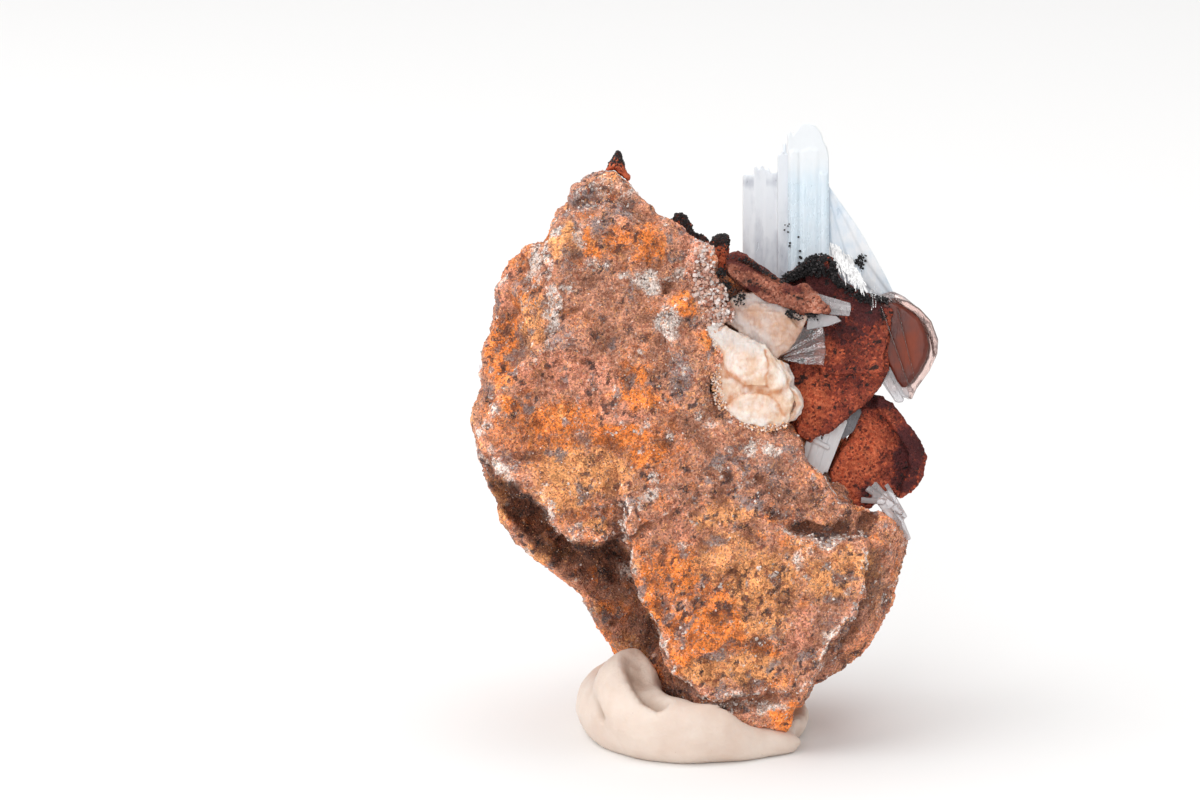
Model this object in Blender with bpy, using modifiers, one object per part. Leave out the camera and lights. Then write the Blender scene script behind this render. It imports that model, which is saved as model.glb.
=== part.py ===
"""Blue barite specimen: tabular crystals and rust-coated plates on an iron-stained host rock,
pressed into a coil of white putty so that it stands up.

The specimen is modelled in its own frame, in millimetres: X to the right, Z up its front face and
Y into its depth. An empty then leans it back and turns millimetres into metres. The putty lies on
the table, in the table's frame. The finished object stands on Z = 0, centred on the origin.
"""

import math
import random

import bmesh
import bpy
from mathutils import Euler, Matrix, Vector, noise

# Driving dimensions, in millimetres and degrees
MM = 0.001
GAP = 0.32  # between pieces that grow on or rest on each other
LEAN = 12.0  # how far the specimen leans back in its putty
FACE_DEPTH = 2.0  # how far behind the putty's front edge the rock's front face stands
ROCK_DEPTH = 22.0  # front face to back face
STEP_DEPTH = 8.3  # the recess at the right, behind the front face, where the crystals grow
ROCK_TRIANGLES = 3400
PUTTY_WIDTH = 22.3
PUTTY_LENGTH = 28.0  # front to back
PUTTY_ROLL = 3.4  # radius of the rolled putty
PUTTY_RING_HEIGHT = 2.92  # of its middle line, a little under its radius because it is squeezed
PUTTY_FOLD = 3.1  # radius of the end that is folded over
PUTTY_PRESSED = 0.45  # how much of its underside is pressed flat
PUTTY_TRIANGLES = 800

# The rock's outline, clockwise from its top. Each row is one spoke: the front face's edge (x, z) and
# how far it stands behind the nearest part of the face, then the girdle (x, z), which is the widest
# outline, and its depth. A row that ends in True has a step: its wall drops straight back first.
SPOKES = [
    ((-9.1, 59.5), 1.0, (-9.1, 59.2), 8.5, False),
    ((-6.3, 57.6), 1.0, (-6.4, 57.2), 9.0, False),
    ((-3.5, 55.1), 1.0, (-3.7, 54.7), 9.0, False),
    ((-1.3, 53.0), 0.6, (-1.6, 52.4), 9.0, False),
    ((1.3, 51.6), 0.6, (1.9, 50.6), 9.2, False),
    ((1.7, 48.1), 0.4, (4.2, 48.2), 9.6, True),
    ((0.3, 44.8), 0.0, (8.2, 45.0), 9.8, True),
    ((2.2, 41.7), 0.0, (11.7, 42.4), 9.8, True),
    ((3.1, 38.3), 0.2, (13.5, 38.6), 9.8, True),
    ((3.5, 35.2), 0.2, (14.2, 35.6), 9.8, True),
    ((9.3, 33.4), 0.4, (14.7, 32.6), 10.2, True),
    ((10.3, 30.1), 0.2, (14.5, 29.6), 10.6, True),
    ((13.0, 27.4), 0.2, (15.0, 26.8), 10.8, False),
    ((14.3, 25.4), 0.6, (16.5, 25.0), 11.0, False),
    ((18.2, 25.4), 2.5, (19.4, 24.7), 10.5, False),
    ((19.0, 23.8), 2.5, (20.2, 22.6), 10.5, False),
    ((17.7, 21.6), 1.0, (19.7, 19.1), 10.5, False),
    ((16.3, 17.6), 0.6, (19.0, 15.6), 10.0, False),
    ((14.3, 13.4), 0.6, (17.3, 13.1), 10.0, False),
    ((12.3, 9.8), 0.8, (14.7, 10.2), 9.5, False),
    ((10.3, 6.8), 1.0, (12.3, 8.2), 9.0, False),
    ((9.8, 4.2), 1.0, (9.9, 6.0), 9.0, False),
    ((8.6, 2.7), 1.4, (7.7, 4.4), 8.0, False),
    ((5.7, 3.8), 1.2, (5.2, 4.8), 9.0, False),
    ((2.2, 4.5), 1.0, (2.2, 5.2), 9.0, False),
    ((-1.1, 5.8), 0.8, (-1.3, 6.0), 9.5, False),
    ((-3.5, 9.1), 0.4, (-5.3, 7.2), 12.0, False),
    ((-5.3, 13.1), 0.0, (-8.0, 9.6), 13.0, False),
    ((-7.3, 17.6), -0.2, (-9.9, 12.1), 13.0, False),
    ((-8.1, 20.6), -0.4, (-11.6, 15.1), 12.5, False),
    ((-11.3, 22.2), -0.6, (-13.2, 17.8), 12.0, False),
    ((-15.1, 22.5), -0.6, (-15.6, 20.0), 11.0, False),
    ((-16.3, 25.1), -0.4, (-18.4, 22.2), 10.0, False),
    ((-17.5, 27.9), 0.0, (-20.4, 24.1), 9.5, False),
    ((-20.3, 28.8), 1.2, (-21.4, 26.6), 9.0, False),
    ((-21.4, 31.6), 2.0, (-22.6, 29.8), 9.0, False),
    ((-20.3, 35.1), 1.6, (-23.5, 34.6), 9.5, False),
    ((-19.3, 38.4), 1.0, (-22.6, 39.6), 10.0, False),
    ((-16.8, 41.8), 0.4, (-21.5, 43.6), 10.5, False),
    ((-15.0, 44.1), 0.6, (-21.0, 47.4), 10.5, False),
    ((-15.3, 47.6), 1.0, (-19.8, 50.5), 10.0, False),
    ((-14.8, 51.6), 1.2, (-17.8, 52.0), 9.0, False),
    ((-14.5, 54.4), 1.4, (-15.5, 53.2), 8.5, False),
    ((-14.0, 56.3), 1.4, (-14.2, 55.6), 8.0, False),
    ((-13.1, 57.9), 1.4, (-13.2, 57.5), 8.0, False),
    ((-11.3, 59.2), 1.2, (-11.3, 58.9), 8.0, False),
]
FACE_CENTRE = (-2.0, 33.0)
BACK_CENTRE = (-1.0, 30.0)
# Rings of the loft: share of the way from the centre out to the rim, how far in front of the rim (on
# the face) or of the back (on the back), and how far they waver
FACE_RINGS = [(0.35, 1.2, 0.4), (0.72, 0.9, 0.5)]
BACK_RINGS = [(0.95, 6.5, 1.0), (0.74, 2.2, 1.5), (0.4, 0.0, 1.0)]
WAVER = 0.5
STEPPED_WALL = 0.12  # share of the way out to the girdle at which a stepped wall reaches the recess
SLOPED_WALL = 0.45

# Relief of the rock's front: ridges and lips (positive), grooves, hollows and pits (negative). Each
# is a line of points (x, z) with its half width and its height.
RELIEF = [
    ([(-14.6, 54.3), (-9.3, 56.0), (-6.0, 54.8)], 0.7, -0.8),
    ([(-14.0, 52.9), (-9.3, 54.6), (-6.6, 53.8)], 0.9, 0.4),
    ([(-14.8, 53.6), (-14.7, 50.6), (-15.8, 47.6), (-15.3, 43.1), (-18.1, 40.1), (-19.8, 36.9)], 0.9, 0.7),
    ([(-20.6, 44.6), (-19.6, 41.5), (-20.2, 39.2)], 1.5, -0.9),
    ([(-17.6, 46.8), (-18.6, 43.2)], 0.8, 0.4),
    ([(-3.1, 47.9)], 0.7, -1.2),
    ([(-5.3, 46.3), (-2.0, 44.5)], 1.2, -0.5),
    ([(0.3, 43.9), (2.8, 41.6)], 0.8, -0.7),
    ([(1.4, 38.6), (3.2, 38.0)], 0.8, -1.1),
    ([(-16.6, 35.0), (-16.2, 33.0)], 0.9, -0.6),
    ([(-3.6, 33.2), (-3.9, 31.4)], 0.9, -0.7),
    ([(-9.6, 32.8), (-8.2, 31.2)], 0.5, -0.5),
    ([(-21.3, 29.6), (-16.8, 28.6), (-16.1, 25.8), (-15.1, 23.6), (-9.3, 23.0)], 0.9, 0.8),
    ([(-7.8, 21.0), (-6.3, 17.6), (-4.3, 13.6)], 0.8, 0.5),
    ([(-20.0, 26.6), (-17.4, 23.2)], 1.4, -1.3),
    ([(-13.8, 21.4), (-9.2, 19.2)], 1.2, -1.2),
    ([(-11.6, 17.6), (-7.4, 13.4)], 1.2, -1.8),
    ([(8.9, 23.9), (10.7, 22.7), (12.9, 22.2), (15.2, 22.9)], 0.6, -0.7),
    ([(9.8, 25.6), (12.6, 24.2)], 1.4, 0.5),
    ([(17.7, 22.4), (16.2, 18.6), (14.4, 14.1), (12.2, 9.6), (10.2, 6.4)], 0.8, 0.6),
    ([(7.4, 17.4), (8.2, 13.6), (8.7, 11.1)], 0.8, -0.5),
    ([(3.2, 12.4), (5.6, 11.6)], 1.5, -0.6),
    ([(4.9, 7.9)], 1.3, -0.6),
    ([(-4.6, 16.6), (-3.6, 14.2)], 1.4, -0.6),
    ([(1.9, 29.8), (3.1, 28.2)], 0.8, -0.6),
    ([(7.4, 31.0), (9.0, 28.4)], 0.9, -0.5),
    ([(-12.4, 38.8), (-9.0, 36.6)], 2.4, 0.5),
    ([(-12.8, 27.6)], 2.6, 0.6),
    ([(-0.1, 5.1), (4.9, 4.9), (9.7, 6.4)], 0.7, 0.6),
]
BLADE_CORNER = 0.22  # cut corner of a rosette's blade, as a share of its width
VIEW_CENTRE = (-10.3, 36.6)
VIEW_DISTANCE = 500.0  # the outlines are as seen from here, so what lies deeper is a little larger

# Outlines (x, z) of the plates and crystals that the front view shows
UPPER_PLATE = [
    (7.8, 47.0), (8.0, 48.7), (9.3, 49.8), (10.9, 50.7), (12.6, 51.2), (13.3, 50.4), (13.5, 49.0),
    (15.3, 47.7), (17.7, 46.6), (19.5, 46.0), (18.9, 42.6), (18.6, 39.6), (17.7, 37.8), (16.5, 36.4),
    (14.7, 35.0), (12.9, 33.4), (10.9, 32.5), (9.6, 33.0), (9.3, 35.6), (8.9, 38.6), (8.6, 41.6),
]
LOWER_PLATE = [
    (15.2, 36.4), (16.5, 37.0), (17.7, 37.0), (18.7, 36.1), (20.2, 34.1), (21.5, 32.6), (22.3, 30.9),
    (21.9, 29.1), (20.9, 27.6), (19.7, 26.9), (18.5, 27.8), (17.4, 26.6), (16.5, 25.6), (14.9, 25.3),
    (13.5, 25.9), (12.6, 27.8), (12.5, 29.6), (13.5, 31.4), (14.7, 32.9), (15.0, 34.8),
]
LONG_BLADE = [
    (2.5, 50.3), (3.0, 51.2), (4.2, 51.0), (5.7, 50.0), (7.2, 48.9), (8.7, 48.0), (10.0, 47.8),
    (11.0, 47.2), (11.9, 46.2), (12.8, 45.6), (12.9, 44.8), (12.1, 44.1), (10.3, 44.6), (8.5, 45.3),
    (6.3, 46.2), (4.5, 47.4), (3.2, 48.5),
]
AMBER_FAN = [
    (17.2, 45.9), (19.2, 46.8), (21.5, 45.7), (22.7, 44.6), (23.4, 42.5), (23.3, 41.4), (22.5, 39.6),
    (21.3, 37.9), (20.8, 36.8), (20.0, 37.3), (19.0, 39.2), (18.0, 40.6), (17.4, 43.1),
]
CLEAR_PRISM = [
    (17.2, 40.6), (17.6, 41.4), (18.7, 41.2), (19.5, 39.9), (20.5, 37.8), (20.9, 36.4), (20.1, 35.8),
    (19.4, 35.9), (18.5, 37.4),
]
GREY_BLADE = [
    (9.7, 32.4), (11.2, 33.4), (13.2, 34.6), (14.7, 35.3), (14.8, 33.4), (13.8, 31.9), (12.9, 30.9),
    (12.4, 28.4), (11.3, 29.0), (10.3, 30.9),
]
PEACH_MASS = [
    (1.0, 47.6), (3.0, 47.4), (4.9, 47.2), (6.7, 46.8), (8.7, 45.8), (9.7, 44.8), (9.4, 43.3),
    (8.7, 41.8), (7.9, 41.0), (6.7, 41.3), (5.4, 42.3), (3.8, 43.0), (1.6, 43.4), (0.6, 45.4),
]
CREAM_LOBES = [
    [
        (1.4, 42.4), (2.4, 43.0), (4.2, 42.8), (5.7, 42.1), (7.2, 41.0), (8.4, 39.8), (9.2, 38.4),
        (8.8, 37.2), (7.2, 36.8), (5.4, 37.0), (3.0, 37.4), (1.8, 39.6),
    ],
    [
        (2.4, 36.4), (3.6, 37.4), (6.0, 37.7), (8.7, 38.0), (9.6, 36.8), (9.8, 35.6), (9.2, 34.4),
        (7.7, 33.6), (5.7, 33.5), (3.4, 34.3),
    ],
]
# Where each of them stands: the depths of its near and far face, its bevel and its turn in degrees
PLACES = {
    "rusty_plate_upper": (6.0, 9.9, 0.5, (-6, 0, -4)),
    "rusty_plate_lower": (8.0, 11.6, 0.5, (4, 0, 14)),
    "rusty_blade_long": (2.2, 7.6, 0.5, (0, 0, 5)),
    "amber_front_blade": (6.8, 9.4, 0.45, (0, 0, 10)),
    "amber_back_blade": (8.6, 10.8, 0.5, (0, 8, -12)),
    "clear_barite_prism": (6.0, 8.2, 0.4, (0, 0, 0)),
    "grey_barite_blade": (7.0, 9.6, 0.3, (0, 0, 6)),
    "peach_calcite": (1.6, 8.8, 0.6, (0, 0, 0)),
    "cream_lobe": (0.9, 8.8, 0.7, (0, 0, 0)),
    "clear_barite_tip": (2.8, 5.2, 0.35, (0, 0, 0)),
    "clear_barite_fan": (3.4, 6.2, 0.3, (0, 10, 0)),
    "black_tipped_blade": (4.4, 6.2, 0.3, (0, 0, 14)),
    "dark_red_blade": (4.6, 6.8, 0.3, (0, 0, 8)),
    "sheaf_tall": (9.6, 13.4, 0.3, (0, 0, 0)),
    "sheaf_swept": (10.6, 13.0, 0.3, (0, 0, -8)),
}
AMBER_STEP = (-0.9, 0.5)  # how far the amber fan's back blade stands to the side of its front one
# Lumps and grain of each kind of skin: (height, size) of both
ROCK_SKIN = ((0.7, 5.5), (0.28, 1.9))
PLATE_SKIN = ((0.35, 2.6), (0.25, 1.1))
BACK_PLATE_SKIN = ((0.4, 3.0), (0.25, 1.3))
PEACH_SKIN = ((0.3, 2.5), (0.12, 1.2))
CREAM_SKIN = ((0.3, 2.8), (0.15, 1.3))
PUTTY_SKIN = ((0.22, 7.0), (0.0, 3.0))

# Clear crystals beside the long blade: a square prism past its tip, and a fan below it
TIP_PRISM = [(12.9, 46.4), (14.0, 46.4), (14.9, 45.7), (14.9, 44.7), (14.0, 44.0), (12.6, 43.4)]
CLEAR_FAN = [
    (7.4, 41.0), (8.6, 43.4), (11.2, 43.8), (12.0, 42.9), (12.2, 41.4), (11.9, 40.0), (9.8, 40.2),
]
SUMMIT_TIP = [
    (-10.6, 57.6), (-10.3, 59.2), (-9.7, 60.2), (-9.1, 61.1), (-8.4, 61.7), (-7.9, 60.8), (-7.4, 58.6),
    (-7.6, 57.0),
]
DARK_RED_BLADE = [(0.5, 50.6), (0.9, 52.6), (1.7, 53.3), (2.5, 53.0), (2.5, 51.6), (2.3, 49.4), (1.2, 48.6)]
# Groups of blades, each blade with its outline, its near and far depth, its bevel and its turn
RIDGE_BLADES = [
    ([(-3.9, 52.0), (-3.3, 54.6), (-2.4, 55.4), (-1.3, 54.4), (-0.6, 51.4)], 9.8, 11.6, 0.25, (-6, 0, 10)),
    ([(-6.2, 52.6), (-5.0, 56.4), (-3.4, 56.2), (-2.6, 52.0)], 11.2, 13.0, 0.25, (-14, 8, -12)),
    ([(-1.8, 50.0), (-1.4, 53.2), (0.2, 53.0), (1.4, 49.6)], 11.0, 12.8, 0.25, (-18, 6, 22)),
]
CORNER_BLADES = [
    ([(16.8, 26.4), (17.9, 28.2), (19.2, 27.8), (20.2, 26.0), (19.6, 23.6), (17.4, 23.8)], 8.6, 11.0, 0.3,
     (6, 0, 20)),
    ([(18.0, 23.0), (19.0, 26.8), (20.9, 25.2), (20.8, 22.6)], 9.8, 11.4, 0.25, (0, 14, -18)),
]
BACK = FACE_DEPTH + ROCK_DEPTH
BACK_PLATES = [
    ([(-13.5, 22.0), (-14.6, 31.0), (-9.0, 35.5), (-3.6, 32.0), (-5.4, 23.0)], BACK - 2.5, BACK + 0.4, 0.5,
     (-24, 0, 12)),
    ([(-6.0, 27.0), (-3.5, 38.5), (3.5, 40.0), (6.0, 31.0), (1.0, 26.0)], BACK - 0.6, BACK + 2.2, 0.5,
     (28, 10, -14)),
    ([(-3.5, 13.0), (-4.4, 22.5), (4.0, 27.0), (8.0, 19.0), (4.4, 12.0)], BACK - 3.2, BACK - 0.4, 0.5,
     (-18, -12, 8)),
]
# Blades of the blue sheaf that stand upright: left, right, foot, head, near, far, cut corner, turn, bevel
SHEAF_TALL = [
    (8.2, 41.6), (8.3, 61.4), (8.5, 63.1), (9.3, 63.9), (10.4, 63.8), (11.2, 63.2), (11.6, 62.0),
    (12.3, 61.4), (12.6, 60.4), (12.6, 41.6),
]
SHEAF_SWEPT = [
    (11.2, 42.0), (11.6, 56.8), (12.7, 57.2), (14.7, 54.1), (16.7, 50.6), (18.2, 48.1), (19.5, 46.2),
    (18.8, 44.6), (16.2, 42.2),
]
SHEAF_UPRIGHT = [
    (7.3, 8.7, 44.0, 61.6, 10.0, 12.6, 0.4, (0, 0, 0), 0.28),
    (5.3, 7.7, 44.5, 59.9, 10.6, 13.6, 0.5, (0, 0, 0), 0.28),
    (4.0, 5.6, 45.0, 59.4, 11.2, 13.9, 0.4, (0, 0, 0), 0.28),
    (4.5, 5.2, 52.0, 60.6, 12.0, 13.0, 0.2, (0, 0, 0), 0.0),
    (6.4, 10.8, 43.0, 57.2, 12.8, 15.4, 0.8, (3, 0, 6), 0.0),
    (10.2, 15.0, 42.0, 53.4, 12.4, 14.6, 0.9, (4, 12, -4), 0.0),
    (8.8, 12.6, 42.0, 50.6, 14.4, 16.6, 0.7, (-14, 4, 10), 0.0),
]
# Rosettes of the hidden side: name, where they root, which way they face, the fan's half angle, how many
# blades, their size, their seed, and the neighbours they give way to
ROSETTES = [
    ("barite_rosette_top", (-8.0, 16.0, 47.0), (-0.1, 0.8, 0.6), 21, 5, 7.5, 11, ("ridge_barite_blades",)),
    ("barite_rosette_right", (8.5, 16.0, 35.5), (0.5, 0.85, 0.2), 24, 5, 8.0, 23,
     ("rusty_plate_lower", "rusty_plate_upper", "blue_barite_sheaf")),
    ("barite_rosette_left", (-15.5, 15.0, 39.0), (-0.45, 0.85, 0.3), 20, 4, 7.0, 31, ("barite_rosette_top",)),
    ("barite_rosette_low", (7.5, 14.0, 20.0), (0.5, 0.85, 0.1), 19, 4, 6.5, 47, ("barite_rosette_right",)),
]
# The putty: the middle of its ring, and the route (x, y, z) of its folded end
PUTTY_MIDDLE = (-1.45, 14.0)
PUTTY_ROUTE = [
    (7.8, 6.6, 1.2), (5.4, 4.5, 1.8), (1.5, 3.1, 2.6), (-4.0, 3.2, 3.2), (-7.2, 5.2, 4.4), (-7.8, 8.4, 6.4),
    (-6.2, 11.2, 7.2), (-4.4, 12.4, 6.0), (-3.4, 13.4, 4.4),
]


def to_origin(obj, matrix):
    """Moves an object's shape by a matrix and leaves the object itself unturned."""
    obj.data.transform(matrix)
    return obj


def collection(name):
    made = bpy.data.collections.new(name)
    bpy.context.scene.collection.children.link(made)
    return made


def clear_scene():
    for obj in list(bpy.data.objects):
        bpy.data.objects.remove(obj)


def new_object(name, mesh):
    obj = bpy.data.objects.new(name, mesh)
    bpy.context.scene.collection.objects.link(obj)
    return obj


def settle(obj):
    """Applies an object's modifiers. A curve becomes a mesh with its caps welded."""
    graph = bpy.context.evaluated_depsgraph_get()
    mesh = bpy.data.meshes.new_from_object(obj.evaluated_get(graph))
    if obj.type == "CURVE":
        made = new_object(obj.name + "_mesh", mesh)
        made.matrix_world = obj.matrix_world.copy()
        name = obj.name
        bpy.data.objects.remove(obj)
        made.name = name
        welded(made)
        return made
    obj.modifiers.clear()
    obj.data = mesh
    return obj


def edit(obj, change):
    """Runs change(bm) on the object's mesh."""
    bm = bmesh.new()
    bm.from_mesh(obj.data)
    change(bm)
    bm.to_mesh(obj.data)
    bm.free()
    obj.data.update()
    return obj


def welded(obj):
    def change(bm):
        bmesh.ops.remove_doubles(bm, verts=bm.verts, dist=0.01)
        bmesh.ops.recalc_face_normals(bm, faces=bm.faces)

    return edit(obj, change)


def seen(outline, depth):
    """The real outline of a piece at this depth, from its outline as seen from the front."""
    scale = 1 + (depth - FACE_DEPTH) / VIEW_DISTANCE
    return [tuple(c + (p - c) * scale for c, p in zip(VIEW_CENTRE, point)) for point in outline]


def outlined(name, outline, near, far, bevel=0.0, turn=(0, 0, 0)):
    """A flat slab with this outline (x, z), from depth near to depth far, turned about its middle."""
    outline = seen(outline, near)
    curve = bpy.data.curves.new(name, "CURVE")
    curve.dimensions = "2D"
    curve.fill_mode = "BOTH"
    curve.extrude = (far - near) / 2
    middle = sum((Vector(p) for p in outline), Vector((0, 0))) / len(outline)
    spline = curve.splines.new("POLY")
    spline.points.add(len(outline) - 1)
    for point, (x, z) in zip(spline.points, outline):
        point.co = (x - middle.x, z - middle.y, 0, 1)
    spline.use_cyclic_u = True
    obj = settle(new_object(name, curve))
    upright = Matrix.Rotation(math.radians(90), 4, "X")
    turned = Euler([math.radians(a) for a in turn]).to_matrix().to_4x4()
    place = Matrix.Translation((middle.x, (near + far) / 2, middle.y))
    to_origin(obj, place @ turned @ upright)
    if bevel:
        edge = obj.modifiers.new("edge", "BEVEL")
        edge.width = bevel
        edge.segments = 1
        edge.limit_method = "ANGLE"
        edge.angle_limit = math.radians(25)
        obj = settle(obj)
    return obj


def remeshed(obj, voxel, smooth=0):
    """One even closed skin round everything in the object."""
    skin = obj.modifiers.new("skin", "REMESH")
    skin.mode = "VOXEL"
    skin.voxel_size = voxel
    if smooth:
        soft = obj.modifiers.new("soft", "SMOOTH")
        soft.factor = 0.5
        soft.iterations = smooth
    return settle(obj)


def roughened(obj, lumps, grain, seed):
    """Pushes the skin in and out: lumps and grain are (height, size) pairs."""
    start = Vector((seed * 17.3, seed * 5.1, seed * 9.7))

    def change(bm):
        bm.normal_update()
        moves = []
        for v in bm.verts:
            lump = noise.fractal(v.co / lumps[1] + start, 0.7, 2.1, 3)
            ridge = abs(noise.noise(v.co / grain[1] - start))
            moves.append(v.normal * (lumps[0] * lump + grain[0] * (0.5 - 2 * ridge)))
        for v, move in zip(bm.verts, moves):
            v.co += move

    return edit(obj, change)


def from_line(x, z, line):
    """How far (x, z) is from a line of points."""
    here = Vector((x, z))
    if len(line) == 1:
        return (here - Vector(line[0])).length
    nearest = math.inf
    for start, end in zip(line, line[1:]):
        a = Vector(start)
        run = Vector(end) - a
        share = max(0.0, min(1.0, (here - a).dot(run) / run.length_squared))
        nearest = min(nearest, (here - a - run * share).length)
    return nearest


def carved(obj):
    """Raises the ridges and sinks the hollows of the rock's front."""

    def change(bm):
        bm.normal_update()
        moves = []
        for v in bm.verts:
            facing = max(0.0, -v.normal.y)
            height = 0.0
            if facing > 0.05 and v.co.y < FACE_DEPTH + ROCK_DEPTH / 2:
                for line, width, rise in RELIEF:
                    away = from_line(v.co.x, v.co.z, line) / width
                    height += rise * math.exp(-away * away)
            moves.append(v.normal * (height * min(1.0, facing * 1.5)))
        for v, move in zip(bm.verts, moves):
            v.co += move

    return edit(obj, change)


def thinned(obj, triangles):
    """Brings the object down to about this many triangles."""
    now = sum(len(p.vertices) - 2 for p in obj.data.polygons)
    if now > triangles:
        fewer = obj.modifiers.new("fewer", "DECIMATE")
        fewer.ratio = triangles / now
        obj = settle(obj)

    def change(bm):
        bmesh.ops.triangulate(bm, faces=bm.faces)

    return edit(obj, change)


def grown(obj, distance):
    """A copy that stands this far proud of the object on every side."""
    copy = new_object(obj.name + "_grown", obj.data.copy())
    copy.parent = obj.parent
    copy.matrix_world = obj.matrix_world.copy()

    def change(bm):
        bm.normal_update()
        moves = [v.normal * (min(v.calc_shell_factor(), 2.5) * distance) for v in bm.verts]
        for v, move in zip(bm.verts, moves):
            v.co += move

    return edit(copy, change)


def boolean(obj, other, operation):
    step = obj.modifiers.new(operation.lower(), "BOOLEAN")
    step.operation = operation
    step.object = other
    step.solver = "EXACT"
    step.use_self = True
    obj = settle(obj)
    bpy.data.objects.remove(other)
    return obj


def largest_piece(obj):
    """Drops the crumbs that a cut leaves, and keeps the largest piece."""

    def change(bm):
        left = set(bm.faces)
        islands = []
        while left:
            island = {left.pop()}
            edge_of = list(island)
            while edge_of:
                face = edge_of.pop()
                for e in face.edges:
                    for near in e.link_faces:
                        if near in left:
                            left.discard(near)
                            island.add(near)
                            edge_of.append(near)
            islands.append(island)
        islands.sort(key=lambda faces: sum(f.calc_area() for f in faces))
        crumbs = [f for island in islands[:-1] for f in island]
        bmesh.ops.delete(bm, geom=crumbs, context="FACES")
        bmesh.ops.triangulate(bm, faces=bm.faces)

    return edit(obj, change)


def cut_by(obj, neighbours):
    """Takes its neighbours out of a piece, with the gap that touching pieces keep."""
    for neighbour in neighbours:
        obj = boolean(obj, grown(neighbour, GAP), "DIFFERENCE")
        obj = largest_piece(obj)
    return obj


def joined(name, pieces):
    """Crystals grown together, as one solid with crisp edges."""
    first, *others = pieces
    first.name = name
    for other in others:
        first = boolean(first, other, "UNION")
    return largest_piece(first)


def lumped(name, pieces, voxel, smooth):
    """Pieces fused in one soft lump."""
    bm = bmesh.new()
    for piece in pieces:
        bm.from_mesh(piece.data)
        bpy.data.objects.remove(piece)
    mesh = bpy.data.meshes.new(name)
    bm.to_mesh(mesh)
    bm.free()
    return remeshed(new_object(name, mesh), voxel, smooth)


def material(name, colour, roughness, transmission=0.0):
    made = bpy.data.materials.new(name)
    made.use_nodes = True
    shader = made.node_tree.nodes["Principled BSDF"]
    shader.inputs["Base Color"].default_value = (*colour, 1)
    shader.inputs["Roughness"].default_value = roughness
    shader.inputs["Metallic"].default_value = 0.0
    shader.inputs["Transmission Weight"].default_value = transmission
    made.diffuse_color = (*colour, 1)
    return made


def finish(obj, look, smooth=False):
    obj.data.materials.clear()
    obj.data.materials.append(look)
    if smooth:
        obj.data.shade_smooth()
        obj.data.set_sharp_from_angle(angle=math.radians(40))
    return obj


def between(centre, point, share):
    """The point (x, z) at this share of the way from the centre out to it."""
    return tuple(c + (p - c) * share for c, p in zip(centre, point))


def host_rock():
    """A loft from the front face through its edge, the side wall and the girdle to the back."""
    spokes = []
    for number, (edge, setback, girdle, depth, stepped) in enumerate(SPOKES):
        front = FACE_DEPTH + setback
        [edge] = seen([edge], front)
        [girdle] = seen([girdle], depth)
        waver = math.sin(number * 2.4) * WAVER
        if stepped:
            wall = (*between(edge, girdle, STEPPED_WALL), STEP_DEPTH)
        else:
            wall = (*between(edge, girdle, SLOPED_WALL), (front + depth) / 2)
        inner, outer = FACE_RINGS
        spoke = [
            (*between(FACE_CENTRE, edge, inner[0]), FACE_DEPTH - inner[1] + waver * inner[2]),
            (*between(FACE_CENTRE, edge, outer[0]), front - outer[1] + waver * outer[2]),
            (*edge, front),
            wall,
            (*girdle, depth),
        ]
        for share, ahead, sway in BACK_RINGS:
            spoke.append((*between(BACK_CENTRE, girdle, share), BACK - ahead + waver * sway))
        spokes.append(spoke)
    bm = bmesh.new()
    loops = [[bm.verts.new((x, y, z)) for x, z, y in ring] for ring in zip(*spokes)]
    for near, far in zip(loops, loops[1:]):
        for i, vert in enumerate(near):
            after = (i + 1) % len(near)
            bm.faces.new((vert, near[after], far[after], far[i]))
    for cap in (loops[0], loops[-1]):
        bm.faces.new(cap)
    bmesh.ops.triangulate(bm, faces=bm.faces)
    bmesh.ops.recalc_face_normals(bm, faces=bm.faces)
    mesh = bpy.data.meshes.new("host_rock")
    bm.to_mesh(mesh)
    bm.free()
    rock = remeshed(new_object("host_rock", mesh), 0.5, 3)
    rock = roughened(carved(rock), *ROCK_SKIN, 1)
    return thinned(rock, ROCK_TRIANGLES)


def placed(name, outline):
    return outlined(name, outline, *PLACES[name])


def rusty_plate(name, outline, seed):
    """A barite plate under a thick rough coat of iron oxide."""
    plate = lumped(name, [placed(name, outline)], 0.35, 3)
    return roughened(plate, *PLATE_SKIN, seed)


def upright_blade(left, right, foot, head, near, far, chamfer, turn=(0, 0, 0), bevel=0.0):
    """A tabular crystal standing on its foot, with its upper corners cut off."""
    outline = [
        (left, foot),
        (left, head - chamfer * 1.6),
        (left + chamfer, head),
        (right - chamfer, head - 0.15),
        (right, head - chamfer * 1.3),
        (right, foot),
    ]
    return outlined("blade", outline, near, far, bevel, turn)


def blue_sheaf():
    """Tabular crystals side by side, the tallest with a stepped crown, and one swept like a fan."""
    upright = [upright_blade(*blade) for blade in SHEAF_UPRIGHT]
    swept = [placed("sheaf_tall", SHEAF_TALL), placed("sheaf_swept", SHEAF_SWEPT)]
    return joined("blue_barite_sheaf", swept + upright)


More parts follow.
